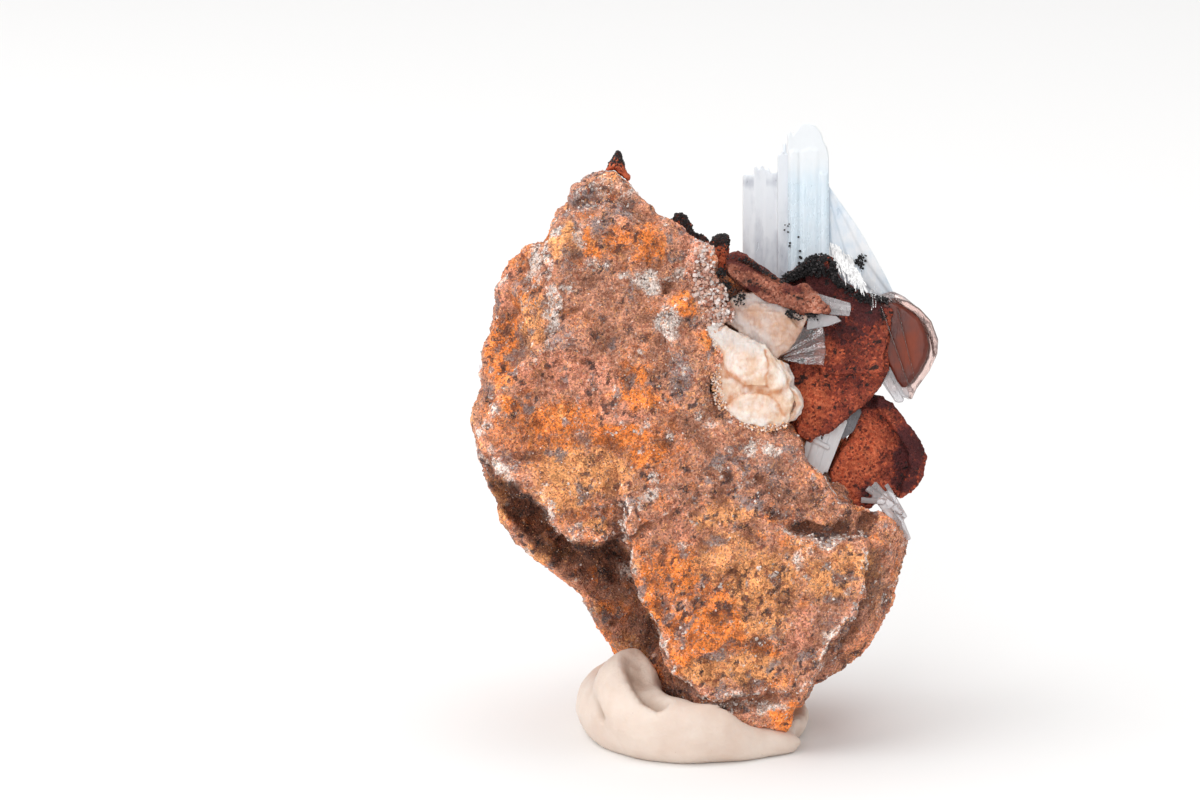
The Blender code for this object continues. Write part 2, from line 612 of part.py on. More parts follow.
def rosette(name, rock, centre, outwards, spread, count, size, seed):
    """Tabular crystals that fan out of the rock's surface, grown together."""
    random.seed(seed)
    axis = Vector(outwards).normalized()
    found, root, _, _ = rock.ray_cast(Vector(centre) + axis * ROCK_DEPTH, -axis)
    centre = (root if found else Vector(centre)) - axis * size * 0.12
    facing = axis.to_track_quat("Z", "Y").to_matrix().to_4x4()
    blades = []
    for number in range(count):
        width = size * random.uniform(0.75, 1.1)
        height = size * random.uniform(0.75, 1.15)
        thick = size * random.uniform(0.07, 0.12)
        blade = upright_blade(
            -width / 2, width / 2, -size / 2, height, -thick, thick, width * BLADE_CORNER
        )
        tilt = spread * (number / max(count - 1, 1) - 0.5) * 2
        angles = (tilt, random.uniform(-16, 16), random.uniform(-14, 14))
        turn = Euler([math.radians(a) for a in angles]).to_matrix().to_4x4()
        blades.append(to_origin(blade, Matrix.Translation(centre) @ facing @ turn))
    return joined(name, blades)


def blade_group(name, blades):
    return joined(name, [outlined("blade", *blade) for blade in blades])


def specimen():
    """All that grew together, in the specimen's own frame. A later piece gives way to earlier ones."""
    made = {}

    def grow(obj, neighbours=("host_rock",), triangles=None):
        name = obj.name
        obj = cut_by(obj, [made[n] for n in neighbours])
        if triangles:
            obj = thinned(remeshed(obj, 0.3, 1), triangles)
        obj.name = name
        made[name] = obj

    made["host_rock"] = host_rock()
    grow(rusty_plate("rusty_plate_upper", UPPER_PLATE, 2), triangles=420)
    near = ("host_rock", "rusty_plate_upper")
    grow(rusty_plate("rusty_plate_lower", LOWER_PLATE, 3), near, 340)
    grow(rusty_plate("rusty_blade_long", LONG_BLADE, 4), near, 300)
    grow(blue_sheaf(), near)
    side, up = AMBER_STEP
    amber = [
        placed("amber_front_blade", AMBER_FAN),
        placed("amber_back_blade", [(x + side, z + up) for x, z in AMBER_FAN]),
    ]
    grow(joined("amber_barite_fan", amber), near + ("blue_barite_sheaf",))
    near_prism = ("rusty_plate_upper", "amber_barite_fan", "rusty_plate_lower")
    grow(placed("clear_barite_prism", CLEAR_PRISM), near_prism)
    grow(placed("grey_barite_blade", GREY_BLADE), near + ("rusty_plate_lower",))
    peach = lumped("peach_calcite", [placed("peach_calcite", PEACH_MASS)], 0.4, 6)
    grow(roughened(peach, *PEACH_SKIN, 5), near + ("rusty_blade_long",), 230)
    lobes = [lumped("lobe", [placed("cream_lobe", outline)], 0.4, 5) for outline in CREAM_LOBES]
    cream = lumped("cream_calcite", lobes, 0.35, 1)
    grow(roughened(cream, *CREAM_SKIN, 6), near + ("peach_calcite",), 320)
    near_clear = near + ("rusty_blade_long", "peach_calcite", "cream_calcite")
    grow(placed("clear_barite_tip", TIP_PRISM), near_clear)
    grow(placed("clear_barite_fan", CLEAR_FAN), near_clear)
    grow(placed("black_tipped_blade", SUMMIT_TIP))
    grow(blade_group("ridge_barite_blades", RIDGE_BLADES))
    grow(placed("dark_red_blade", DARK_RED_BLADE), ("host_rock", "rusty_blade_long"))
    grow(blade_group("corner_barite_blades", CORNER_BLADES), ("host_rock", "rusty_plate_lower"))
    behind(grow, made)
    return made


def behind(grow, made):
    """The crystals and plates of the hidden side, of the same kinds as those that show."""
    plates = [outlined("plate", *plate) for plate in BACK_PLATES]
    plates = lumped("rusty_plates_back", plates, 0.45, 2)
    grow(roughened(plates, *BACK_PLATE_SKIN, 7), triangles=480)
    near = ("host_rock", "rusty_plates_back")
    for name, root, outwards, spread, count, size, seed, neighbours in ROSETTES:
        blades = rosette(name, made["host_rock"], root, outwards, spread, count, size, seed)
        grow(blades, near + neighbours)


def roll(name, route, radius, closed):
    """A roll of putty along a route (x, y, z). An open one tapers at its start."""
    curve = bpy.data.curves.new(name, "CURVE")
    curve.dimensions = "3D"
    curve.bevel_depth = radius
    curve.bevel_resolution = 4
    curve.use_fill_caps = True
    spline = curve.splines.new("POLY" if closed else "NURBS")
    spline.points.add(len(route) - 1)
    for number, (point, place) in enumerate(zip(spline.points, route)):
        point.co = (*place, 1)
        point.radius = 1.0 if closed else min(1.0, 0.5 + 0.22 * number)
    spline.use_cyclic_u = closed
    spline.use_endpoint_u = not closed
    return settle(new_object(name, curve))


def putty(rock):
    """A roll of putty bent into a ring, its end folded over at the front left, pressed by the rock."""
    centre = Vector((*PUTTY_MIDDLE, 0))
    across = PUTTY_WIDTH / 2 - PUTTY_ROLL
    along = PUTTY_LENGTH / 2 - PUTTY_ROLL
    ring = []
    for number in range(20):
        angle = number * math.tau / 20
        aside, ahead = across * math.cos(angle), along * math.sin(angle)
        ring.append((centre.x + aside, centre.y + ahead, PUTTY_RING_HEIGHT))
    pad = bmesh.new()
    bmesh.ops.create_cone(
        pad, cap_ends=True, segments=32, radius1=1.0, radius2=1.0, depth=PUTTY_ROLL,
        matrix=Matrix.Translation(centre + Vector((0, 0, PUTTY_ROLL / 2)))
        @ Matrix.Diagonal((across, along, 1, 1)),
    )
    mesh = bpy.data.meshes.new("pad")
    pad.to_mesh(mesh)
    pad.free()
    rolls = [roll("ring", ring, PUTTY_ROLL, True), roll("fold", PUTTY_ROUTE, PUTTY_FOLD, False)]
    lump = lumped("putty", [*rolls, new_object("pad", mesh)], 0.5, 8)
    lump = thinned(roughened(lump, *PUTTY_SKIN, 9), PUTTY_TRIANGLES)
    to_origin(lump, Matrix.Scale(MM, 4))
    pressed = PUTTY_PRESSED * MM

    def flatten(bm):
        geometry = bm.verts[:] + bm.edges[:] + bm.faces[:]
        cut = bmesh.ops.bisect_plane(
            bm, geom=geometry, dist=1e-6, plane_co=(0, 0, pressed), plane_no=(0, 0, -1), clear_outer=True
        )
        rim = [e for e in cut["geom_cut"] if isinstance(e, bmesh.types.BMEdge)]
        bmesh.ops.edgeloop_fill(bm, edges=rim)
        bmesh.ops.triangulate(bm, faces=[f for f in bm.faces if len(f.verts) > 3])

    edit(lump, flatten)
    to_origin(lump, Matrix.Translation((0, 0, -pressed)))
    return boolean(lump, grown(rock, GAP), "DIFFERENCE")


def stand_at_origin(everything, movable):
    """Shifts the object so that its box is centred on the origin and stands on Z = 0."""
    bpy.context.view_layer.update()
    points = [o.matrix_world @ v.co for o in everything for v in o.data.vertices]
    low = Vector([min(p[i] for p in points) for i in range(3)])
    high = Vector([max(p[i] for p in points) for i in range(3)])
    shift = Vector((-(low.x + high.x) / 2, -(low.y + high.y) / 2, -low.z))
    for obj in movable:
        obj.location += shift
    bpy.context.view_layer.update()
    print("box mm", [round(v / MM, 2) for v in high - low], "shift mm", [round(v / MM, 3) for v in shift])


def main():
    clear_scene()
    parts = collection("blue_barite_specimen")
    made = specimen()
    lean = bpy.data.objects.new("specimen_lean", None)
    bpy.context.scene.collection.objects.link(lean)
    lean.rotation_euler = (math.radians(-LEAN), 0, 0)
    lean.scale = (MM, MM, MM)
    for obj in made.values():
        obj.parent = lean
    bpy.context.view_layer.update()
    made["putty"] = putty(made["host_rock"])
    stand_at_origin(made.values(), (lean, made["putty"]))

    rust = material("rusty_coat", (0.33, 0.10, 0.05), 0.85)
    glassy = (0.90, 0.92, 0.94)
    looks = {
        "host_rock": material("gossan", (0.56, 0.27, 0.14), 0.9),
        "blue_barite_sheaf": material("blue_barite", (0.70, 0.83, 0.92), 0.12, 0.8),
        "amber_barite_fan": material("amber_barite", (0.62, 0.22, 0.12), 0.2, 0.5),
        "clear_barite_prism": material("clear_barite", glassy, 0.1, 0.9),
        "grey_barite_blade": material("grey_barite", (0.72, 0.73, 0.76), 0.2, 0.6),
        "peach_calcite": material("peach_calcite", (0.90, 0.72, 0.55), 0.4),
        "cream_calcite": material("cream_calcite", (0.93, 0.86, 0.74), 0.45),
        "black_tipped_blade": material("black_crust", (0.06, 0.05, 0.05), 0.9),
        "putty": material("putty", (0.87, 0.84, 0.79), 0.7),
    }
    for name, obj in made.items():
        if name in looks:
            look = looks[name]
        elif name.startswith("rusty") or name.startswith("dark") or name.startswith("ridge"):
            look = rust
        else:
            look = looks["clear_barite_prism"]
        finish(obj, look, smooth=name in ("putty", "host_rock"))
        parts.objects.link(obj)
        bpy.context.scene.collection.objects.unlink(obj)


main()
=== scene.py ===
import math

import bpy
import numpy as np
from mathutils import Euler, Matrix, Vector


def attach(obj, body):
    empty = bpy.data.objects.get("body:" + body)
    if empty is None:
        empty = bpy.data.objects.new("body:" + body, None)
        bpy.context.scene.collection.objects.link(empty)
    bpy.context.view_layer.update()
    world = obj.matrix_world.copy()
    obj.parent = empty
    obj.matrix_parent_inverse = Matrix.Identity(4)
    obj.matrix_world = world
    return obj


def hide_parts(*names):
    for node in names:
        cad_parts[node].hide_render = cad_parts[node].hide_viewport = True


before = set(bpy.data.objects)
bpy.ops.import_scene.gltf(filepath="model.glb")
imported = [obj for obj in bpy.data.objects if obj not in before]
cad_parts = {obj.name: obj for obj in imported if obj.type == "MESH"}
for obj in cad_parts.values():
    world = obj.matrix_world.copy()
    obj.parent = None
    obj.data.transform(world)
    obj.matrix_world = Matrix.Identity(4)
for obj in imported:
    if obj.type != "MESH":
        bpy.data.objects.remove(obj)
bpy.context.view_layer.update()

# The specimen leans back in its putty. Its own frame is in millimetres: X right, Y into its depth, Z up its face
specimen = {
    "lean": 12.0, "shift": (-0.143, -20.324, 0.0), "viewCentre": (-10.3, 36.6), "viewDistance": 500.0,
    "faceDepth": 2.0,
}
toWorld = (Matrix.Translation(Vector(specimen["shift"]) * 0.001)
           @ Matrix.Rotation(math.radians(-specimen["lean"]), 4, "X") @ Matrix.Scale(0.001, 4))
toSpecimen = toWorld.inverted()


# Small tools

def deselectAll():
    for obj in bpy.context.selected_objects:
        obj.select_set(False)


def makeActive(obj):
    deselectAll()
    obj.select_set(True)
    bpy.context.view_layer.objects.active = obj
    return obj


def addObject(name, data):
    obj = bpy.data.objects.new(name, data)
    bpy.context.scene.collection.objects.link(obj)
    return obj


def applyModifiers(obj):
    makeActive(obj)
    for modifier in list(obj.modifiers):
        bpy.ops.object.modifier_apply(modifier=modifier.name)
    return obj


def mergeLoose(obj, distance):
    makeActive(obj)
    bpy.ops.object.mode_set(mode="EDIT")
    bpy.ops.mesh.select_all(action="SELECT")
    bpy.ops.mesh.remove_doubles(threshold=distance)
    bpy.ops.mesh.normals_make_consistent(inside=False)
    bpy.ops.object.mode_set(mode="OBJECT")
    return obj


def copyNode(node, name):
    # a CAD node's copy, in the specimen's millimetres, with its loose triangles merged
    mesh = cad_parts[node].data.copy()
    mesh.transform(toSpecimen)
    mesh.materials.clear()
    obj = makeActive(addObject(name, mesh))
    bpy.ops.mesh.customdata_custom_splitnormals_clear()
    return mergeLoose(obj, 0.002)


def voxelSkin(obj, voxel, smooth):
    # one even skin, fine enough to be shaped
    skin = obj.modifiers.new("skin", "REMESH")
    skin.mode = "VOXEL"
    skin.voxel_size = voxel
    if smooth:
        soft = obj.modifiers.new("soft", "SMOOTH")
        soft.factor = 0.5
        soft.iterations = smooth
    return applyModifiers(obj)


def displace(obj, kind, size, strength, middle=0.5, hard=False):
    texture = bpy.data.textures.new(obj.name + kind, kind)
    texture.noise_scale = size
    if kind == "CLOUDS":
        texture.noise_depth = 2
        texture.noise_type = "HARD_NOISE" if hard else "SOFT_NOISE"
    push = obj.modifiers.new("push", "DISPLACE")
    push.texture = texture
    push.texture_coords = "LOCAL"
    push.strength = strength
    push.mid_level = middle
    return applyModifiers(obj)


def joinObjects(name, objects):
    makeActive(objects[0])
    for obj in objects:
        obj.select_set(True)
    if len(objects) > 1:
        bpy.ops.object.join()
    objects[0].name = name
    return objects[0]


def fuse(name, objects):
    # grown together: one solid with crisp edges
    first, *others = objects
    for other in others:
        union = first.modifiers.new("union", "BOOLEAN")
        union.operation = "UNION"
        union.solver = "EXACT"
        union.use_self = True
        union.object = other
        applyModifiers(first)
        bpy.data.objects.remove(other)
    first.name = name
    return first


def smoothShade(obj, degrees):
    makeActive(obj)
    bpy.ops.object.shade_smooth_by_angle(angle=math.radians(degrees))
    return obj


def finishPiece(obj, material, nodes=()):
    # into the world: the object ends at the origin, with its place in its mesh
    obj.data.materials.clear()
    obj.data.materials.append(material)
    obj.matrix_world = toWorld @ obj.matrix_world
    makeActive(obj)
    bpy.ops.object.transform_apply(location=True, rotation=True, scale=True)
    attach(obj, "root")
    if nodes:
        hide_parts(*nodes)
    return obj


def seen(outline, depth):
    # an outline as seen from the front, at its real size at this depth
    scale = 1 + (depth - specimen["faceDepth"]) / specimen["viewDistance"]
    return [tuple(c + (p - c) * scale for c, p in zip(specimen["viewCentre"], point)) for point in outline]


def slab(outline, near, far, bevel=0.0, turn=(0, 0, 0)):
    # a flat curve, filled, extruded, stood upright and turned about its middle
    outline = seen(outline, near)
    middle = np.mean(outline, axis=0)
    curve = bpy.data.curves.new("slab", "CURVE")
    curve.dimensions = "2D"
    curve.fill_mode = "BOTH"
    curve.extrude = (far - near) / 2
    spline = curve.splines.new("POLY")
    spline.points.add(len(outline) - 1)
    for point, (x, z) in zip(spline.points, outline):
        point.co = (x - middle[0], z - middle[1], 0, 1)
    spline.use_cyclic_u = True
    obj = makeActive(addObject("slab", curve))
    bpy.ops.object.convert(target="MESH")
    mergeLoose(obj, 0.004)
    turned = Euler([math.radians(a) for a in turn]).to_matrix().to_4x4()
    place = Matrix.Translation((middle[0], (near + far) / 2, middle[1]))
    obj.matrix_world = place @ turned @ Matrix.Rotation(math.radians(90), 4, "X")
    makeActive(obj)
    bpy.ops.object.transform_apply(location=True, rotation=True, scale=True)
    if bevel:
        edge = obj.modifiers.new("edge", "BEVEL")
        edge.width = bevel
        edge.segments = 1
        edge.limit_method = "ANGLE"
        edge.angle_limit = math.radians(28)
        applyModifiers(obj)
    return obj


def rod(start, end, width, near, far, bevel=0.05, taper=0.85):
    # a thin straight crystal that lies along a line of the front view
    a, b = np.array(start, float), np.array(end, float)
    run = (b - a) / np.linalg.norm(b - a)
    side = np.array([-run[1], run[0]]) * width / 2
    tip = side * taper
    outline = [a - side, b - run * width * 0.3 - tip, b - tip * 0.4, b + run * width * 0.1 + tip * 0.5, b + tip - run * width * 0.15,
               a + side]
    return slab([tuple(p) for p in outline], near, far, bevel)


# Noise that the shapes and their colours share

def latticeNoise(points, size, seed):
    p = np.asarray(points) / size + seed * 7.31
    cell = np.floor(p).astype(np.int64)
    f = p - cell
    f = f * f * (3 - 2 * f)
    total = np.zeros(len(p))
    for corner in range(8):
        dx, dy, dz = corner & 1, corner >> 1 & 1, corner >> 2
        h = (cell[:, 0] + dx) * 73856093 ^ (cell[:, 1] + dy) * 19349663 ^ (cell[:, 2] + dz) * 83492791
        h = (h ^ (seed * 668265263)) & 0xFFFFFFFF
        h = ((h ^ (h >> 13)) * 1274126177) & 0xFFFFFFFF
        h = (h ^ (h >> 16)) & 0xFFFFFFFF
        weight = ((f[:, 0] if dx else 1 - f[:, 0]) * (f[:, 1] if dy else 1 - f[:, 1])
                  * (f[:, 2] if dz else 1 - f[:, 2]))
        total += weight * (h / 0xFFFFFFFF)
    return total


def fractal(points, size, seed, octaves=3):
    total, share, weight = 0, 0, 1.0
    for octave in range(octaves):
        total = total + weight * latticeNoise(points, size / 2 ** octave, seed + octave * 11)
        share += weight
        weight *= 0.5
    return total / share


def patches(points, size, seed, level, sharpness):
    # 0 to 1 patches that cover what of the noise is above the level
    return np.clip((fractal(points, size, seed) - level) * sharpness, 0, 1)


def meshPoints(mesh):
    points = np.empty(len(mesh.vertices) * 3)
    mesh.vertices.foreach_get("co", points)
    return points.reshape(-1, 3)


def meshNormals(mesh):
    normals = np.empty(len(mesh.vertices) * 3)
    mesh.vertices.foreach_get("normal", normals)
    return normals.reshape(-1, 3)


def movePoints(mesh, points):
    mesh.vertices.foreach_set("co", np.ascontiguousarray(points).ravel())
    mesh.update()


def storeColour(mesh, name, values):
    attribute = mesh.attributes.new(name, "FLOAT_COLOR", "POINT")
    full = np.ones((len(mesh.vertices), 4))
    full[:, :3] = np.clip(values, 0, 1)
    attribute.data.foreach_set("color", full.ravel())


def storeValue(mesh, name, values):
    attribute = mesh.attributes.new(name, "FLOAT", "POINT")
    attribute.data.foreach_set("value", np.ascontiguousarray(np.clip(values, 0, 1), dtype=np.float64))


def nearestOnLine(here, line):
    # distance of each point from a line of points, and which side of it the point lies on
    best = np.full(len(here), 99.0)
    side = np.zeros(len(here))
    for start, end in zip(line, line[1:]):
        a, run = np.array(start), np.array(end) - np.array(start)
        t = np.clip(((here - a) @ run) / (run @ run), 0, 1)
        gap = here - a - t[:, None] * run
        away = np.linalg.norm(gap, axis=1)
        closer = away < best
        best = np.where(closer, away, best)
        side = np.where(closer, np.sign(run[0] * gap[:, 1] - run[1] * gap[:, 0]), side)
    return best, side


def hollowness(mesh, rounds):
    # how far each point lies below the smoothed surface round it, in millimetres
    edges = np.empty(len(mesh.edges) * 2, dtype=np.int64)
    mesh.edges.foreach_get("vertices", edges)
    a, b = edges.reshape(-1, 2).T
    points, normals = meshPoints(mesh), meshNormals(mesh)
    count = np.bincount(np.concatenate([a, b]), minlength=len(points))[:, None]
    soft = points
    for _ in range(rounds):
        total = np.stack([np.bincount(a, soft[b, i], len(points)) + np.bincount(b, soft[a, i], len(points))
                          for i in range(3)], axis=1)
        soft = 0.5 * soft + 0.5 * total / count
    return ((soft - points) * normals).sum(axis=1)


def surfaceSpots(obj, count, seed, weigh):
    # random places on a surface, more of them where weigh(points, normals) is high, with a nearby point of each
    mesh = obj.data
    mesh.calc_loop_triangles()
    tris = np.empty(len(mesh.loop_triangles) * 3, dtype=np.int64)
    mesh.loop_triangles.foreach_get("vertices", tris)
    tris = tris.reshape(-1, 3)
    points = meshPoints(mesh)
    a, b, c = points[tris[:, 0]], points[tris[:, 1]], points[tris[:, 2]]
    cross = np.cross(b - a, c - a)
    area = np.linalg.norm(cross, axis=1)
    normals = cross / np.maximum(area, 1e-12)[:, None]
    chance = area * weigh((a + b + c) / 3, normals)
    rng = np.random.default_rng(seed)
    pick = rng.choice(len(tris), count, p=chance / chance.sum())
    u, v = rng.random(count), rng.random(count)
    flip = u + v > 1
    u[flip], v[flip] = 1 - u[flip], 1 - v[flip]
    spots = a[pick] + (b[pick] - a[pick]) * u[:, None] + (c[pick] - a[pick]) * v[:, None]
    return spots, normals[pick], tris[pick, 0]


def littleShape(kind):
    # the one grain, ball or flake that is copied
    deselectAll()
    if kind == "ball":
        bpy.ops.mesh.primitive_ico_sphere_add(subdivisions=1, radius=1)
    else:
        bpy.ops.mesh.primitive_cube_add(size=1.5)
    obj = bpy.context.object
    points = meshPoints(obj.data)
    if kind == "grain":
        points *= 1 + 0.25 * np.sin(points[:, [1, 2, 0]] * 4 + 1.3)
        points[:, 0] += 0.2 * points[:, 2]
    elif kind == "flake":
        points[:, 0] *= np.where(points[:, 2] > 0, 0.55, 1)
        points *= (0.5, 0.16, 1.0)
    movePoints(obj.data, points)
    return obj


def scatter(name, kind, spots, sizes, seed, colours=None, axes=None):
    # copies of a small shape, turned at random or along axes, as one piece
    shape = littleShape(kind)
    rng = np.random.default_rng(seed)
    base = meshPoints(shape.data)
    faces = np.array([tuple(p.vertices) for p in shape.data.polygons])
    bpy.data.objects.remove(shape)
    count, step = len(spots), len(base)
    q = rng.normal(size=(count, 4))
    w, x, y, z = (q / np.linalg.norm(q, axis=1)[:, None]).T
    turns = np.stack([
        1 - 2 * (y * y + z * z), 2 * (x * y - z * w), 2 * (x * z + y * w),
        2 * (x * y + z * w), 1 - 2 * (x * x + z * z), 2 * (y * z - x * w),
        2 * (x * z - y * w), 2 * (y * z + x * w), 1 - 2 * (x * x + y * y)], axis=1).reshape(-1, 3, 3)
    if axes is not None:
        up = axes / np.linalg.norm(axes, axis=1)[:, None]
        side = np.cross(up, rng.normal(size=(count, 3)))
        side /= np.linalg.norm(side, axis=1)[:, None]
        turns = np.stack([side, np.cross(up, side), up], axis=2)
    placed = np.einsum("nij,vj->nvi", turns, base) * np.asarray(sizes)[:, None, None] + np.asarray(spots)[:, None, :]
    allFaces = (faces[None, :, :] + (np.arange(count) * step)[:, None, None]).reshape(-1, faces.shape[1])
    mesh = bpy.data.meshes.new(name)
    mesh.from_pydata(placed.reshape(-1, 3).tolist(), [], allFaces.tolist())
    if colours is not None:
        storeColour(mesh, "grainColour", np.repeat(colours, step, axis=0))
    return addObject(name, mesh)


# Materials

def newMaterial(name):
    material = bpy.data.materials.new(name)
    material.use_nodes = True
    tree = material.node_tree
    return material, tree, tree.nodes["Principled BSDF"]


def put(tree, kind, links=None, values=None, **settings):
    # one node, with its settings, its values and what feeds it
    node = tree.nodes.new(kind)
    for key, value in settings.items():
        setattr(node, key, value)
    for key, value in (values or {}).items():
        node.inputs[key].default_value = value
    for key, source in (links or {}).items():
        tree.links.new(source, node.inputs[key])
    return node


def ramp(tree, source, stops):
    node = put(tree, "ShaderNodeValToRGB", {"Fac": source})
    elements = node.color_ramp.elements
    while len(elements) < len(stops):
        elements.new(0.5)
    for element, (position, colour) in zip(elements, stops):
        element.position = position
        element.color = (*colour, 1) if isinstance(colour, tuple) else (colour, colour, colour, 1)
    return node.outputs["Color"]


def feed(tree, socket, value):
    if isinstance(value, (int, float)):
        socket.default_value = value
    elif isinstance(value, tuple):
        socket.default_value = (*value, 1)
    elif value is not None:
        tree.links.new(value, socket)


def mixColour(tree, share, first, second, blend="MIX"):
    node = put(tree, "ShaderNodeMix", data_type="RGBA", blend_type=blend, clamp_factor=True)
    for index, value in ((0, share), (6, first), (7, second)):
        feed(tree, node.inputs[index], value)
    return node.outputs[2]


def calculate(tree, operation, first, second=None, clamp=False):
    node = put(tree, "ShaderNodeMath", operation=operation, use_clamp=clamp)
    feed(tree, node.inputs[0], first)
    feed(tree, node.inputs[1], second)
    return node.outputs[0]


def stretchRange(tree, value, low, high, toLow=0.0, toHigh=1.0):
    return put(tree, "ShaderNodeMapRange", {"Value": value},
               {"From Min": low, "From Max": high, "To Min": toLow, "To Max": toHigh}).outputs["Result"]


def objectSpace(tree, scale=(1, 1, 1), turn=0.0):
    space = put(tree, "ShaderNodeTexCoord")
    return put(tree, "ShaderNodeMapping", {"Vector": space.outputs["Object"]},
               {"Scale": scale, "Rotation": (0, math.radians(turn), 0)}).outputs["Vector"]


def noiseMask(tree, vector, size, low, high, detail=3.0):
    # patches of about this size in millimetres
    noise = put(tree, "ShaderNodeTexNoise", {"Vector": vector},
                {"Scale": 1000 / size, "Detail": detail, "Roughness": 0.6})
    return stretchRange(tree, noise.outputs["Fac"], low, high)


def attributeColour(tree, name):
    attribute = put(tree, "ShaderNodeAttribute", attribute_name=name)
    return put(tree, "ShaderNodeSeparateColor", {"Color": attribute.outputs["Color"]}).outputs


def bump(tree, shader, height, strength, distance):
    node = put(tree, "ShaderNodeBump", {"Height": height}, {"Strength": strength, "Distance": distance})
    tree.links.new(node.outputs["Normal"], shader.inputs["Normal"])


def makeSandGroup():
    # packed grains: a tone and a second chance value for each grain, and its rounded height
    group = bpy.data.node_groups.new("packedGrains", "ShaderNodeTree")
    group.interface.new_socket("Vector", in_out="INPUT", socket_type="NodeSocketVector")
    group.interface.new_socket("Scale", in_out="INPUT", socket_type="NodeSocketFloat")
    for name in ("Tone", "Pick", "Height"):
        group.interface.new_socket(name, in_out="OUTPUT", socket_type="NodeSocketFloat")
    start = group.nodes.new("NodeGroupInput")
    end = group.nodes.new("NodeGroupOutput")
    warp = put(group, "ShaderNodeTexNoise", {"Vector": start.outputs["Vector"]}, {"Scale": 900, "Detail": 2.0})
    shift = put(group, "ShaderNodeVectorMath", {0: warp.outputs["Color"]}, {1: (0.0004, 0.0004, 0.0004)},
                operation="MULTIPLY")
    moved = put(group, "ShaderNodeVectorMath", {0: start.outputs["Vector"], 1: shift.outputs["Vector"]},
                operation="ADD")
    cells = put(group, "ShaderNodeTexVoronoi", {"Vector": moved.outputs["Vector"], "Scale": start.outputs["Scale"]})
    parts = put(group, "ShaderNodeSeparateColor", {"Color": cells.outputs["Color"]})
    height = stretchRange(group, cells.outputs["Distance"], 0.0, 0.7, 1.0, 0.0)
    group.links.new(parts.outputs["Red"], end.inputs["Tone"])
    group.links.new(parts.outputs["Green"], end.inputs["Pick"])
    group.links.new(height, end.inputs["Height"])
    return group


sandGroup = makeSandGroup()


def grains(tree, vector, size):
    # packed grains of this size in millimetres
    node = put(tree, "ShaderNodeGroup", node_tree=sandGroup)
    tree.links.new(vector, node.inputs["Vector"])
    node.inputs["Scale"].default_value = 1000 / size
    return node.outputs


def ragged(tree, mask, fine, coarse, spread):
    # the edge of a stain runs grain by grain
    jitter = calculate(tree, "MULTIPLY", calculate(tree, "SUBTRACT", fine, 0.5), spread)
    coarseJitter = calculate(tree, "MULTIPLY", calculate(tree, "SUBTRACT", coarse, 0.5), spread)
    total = calculate(tree, "ADD", calculate(tree, "ADD", mask, jitter), coarseJitter)
    return stretchRange(tree, total, 0.25, 0.65)


# The rock's colours, shared by its skin and its loose grains, with two colours of painted shade for its recesses and
# small hollows
rockColours = {
    "brown": (0.57, 0.26, 0.165), "rust": (1.0, 0.285, 0.060), "salmon": (0.82, 0.34, 0.22),
    "ochre": (1.0, 0.44, 0.17), "grey": (0.27, 0.225, 0.225), "pale": (0.92, 0.81, 0.74),
    # the colour mixed into the small hollows is painted shade
    "dark": (0.065, 0.042, 0.044), "dirt": (0.30, 0.11, 0.06), "glow": (0.98, 0.46, 0.18),
    "shade": (0.14, 0.105, 0.09), "pock": (0.34, 0.10, 0.055),
}
stainOrder = ("rust", "salmon", "ochre", "grey", "pale", "dark")
stainShares = {"rust": 0.95, "salmon": 0.8, "ochre": 0.9, "grey": 0.85, "pale": 0.9, "dark": 0.9}


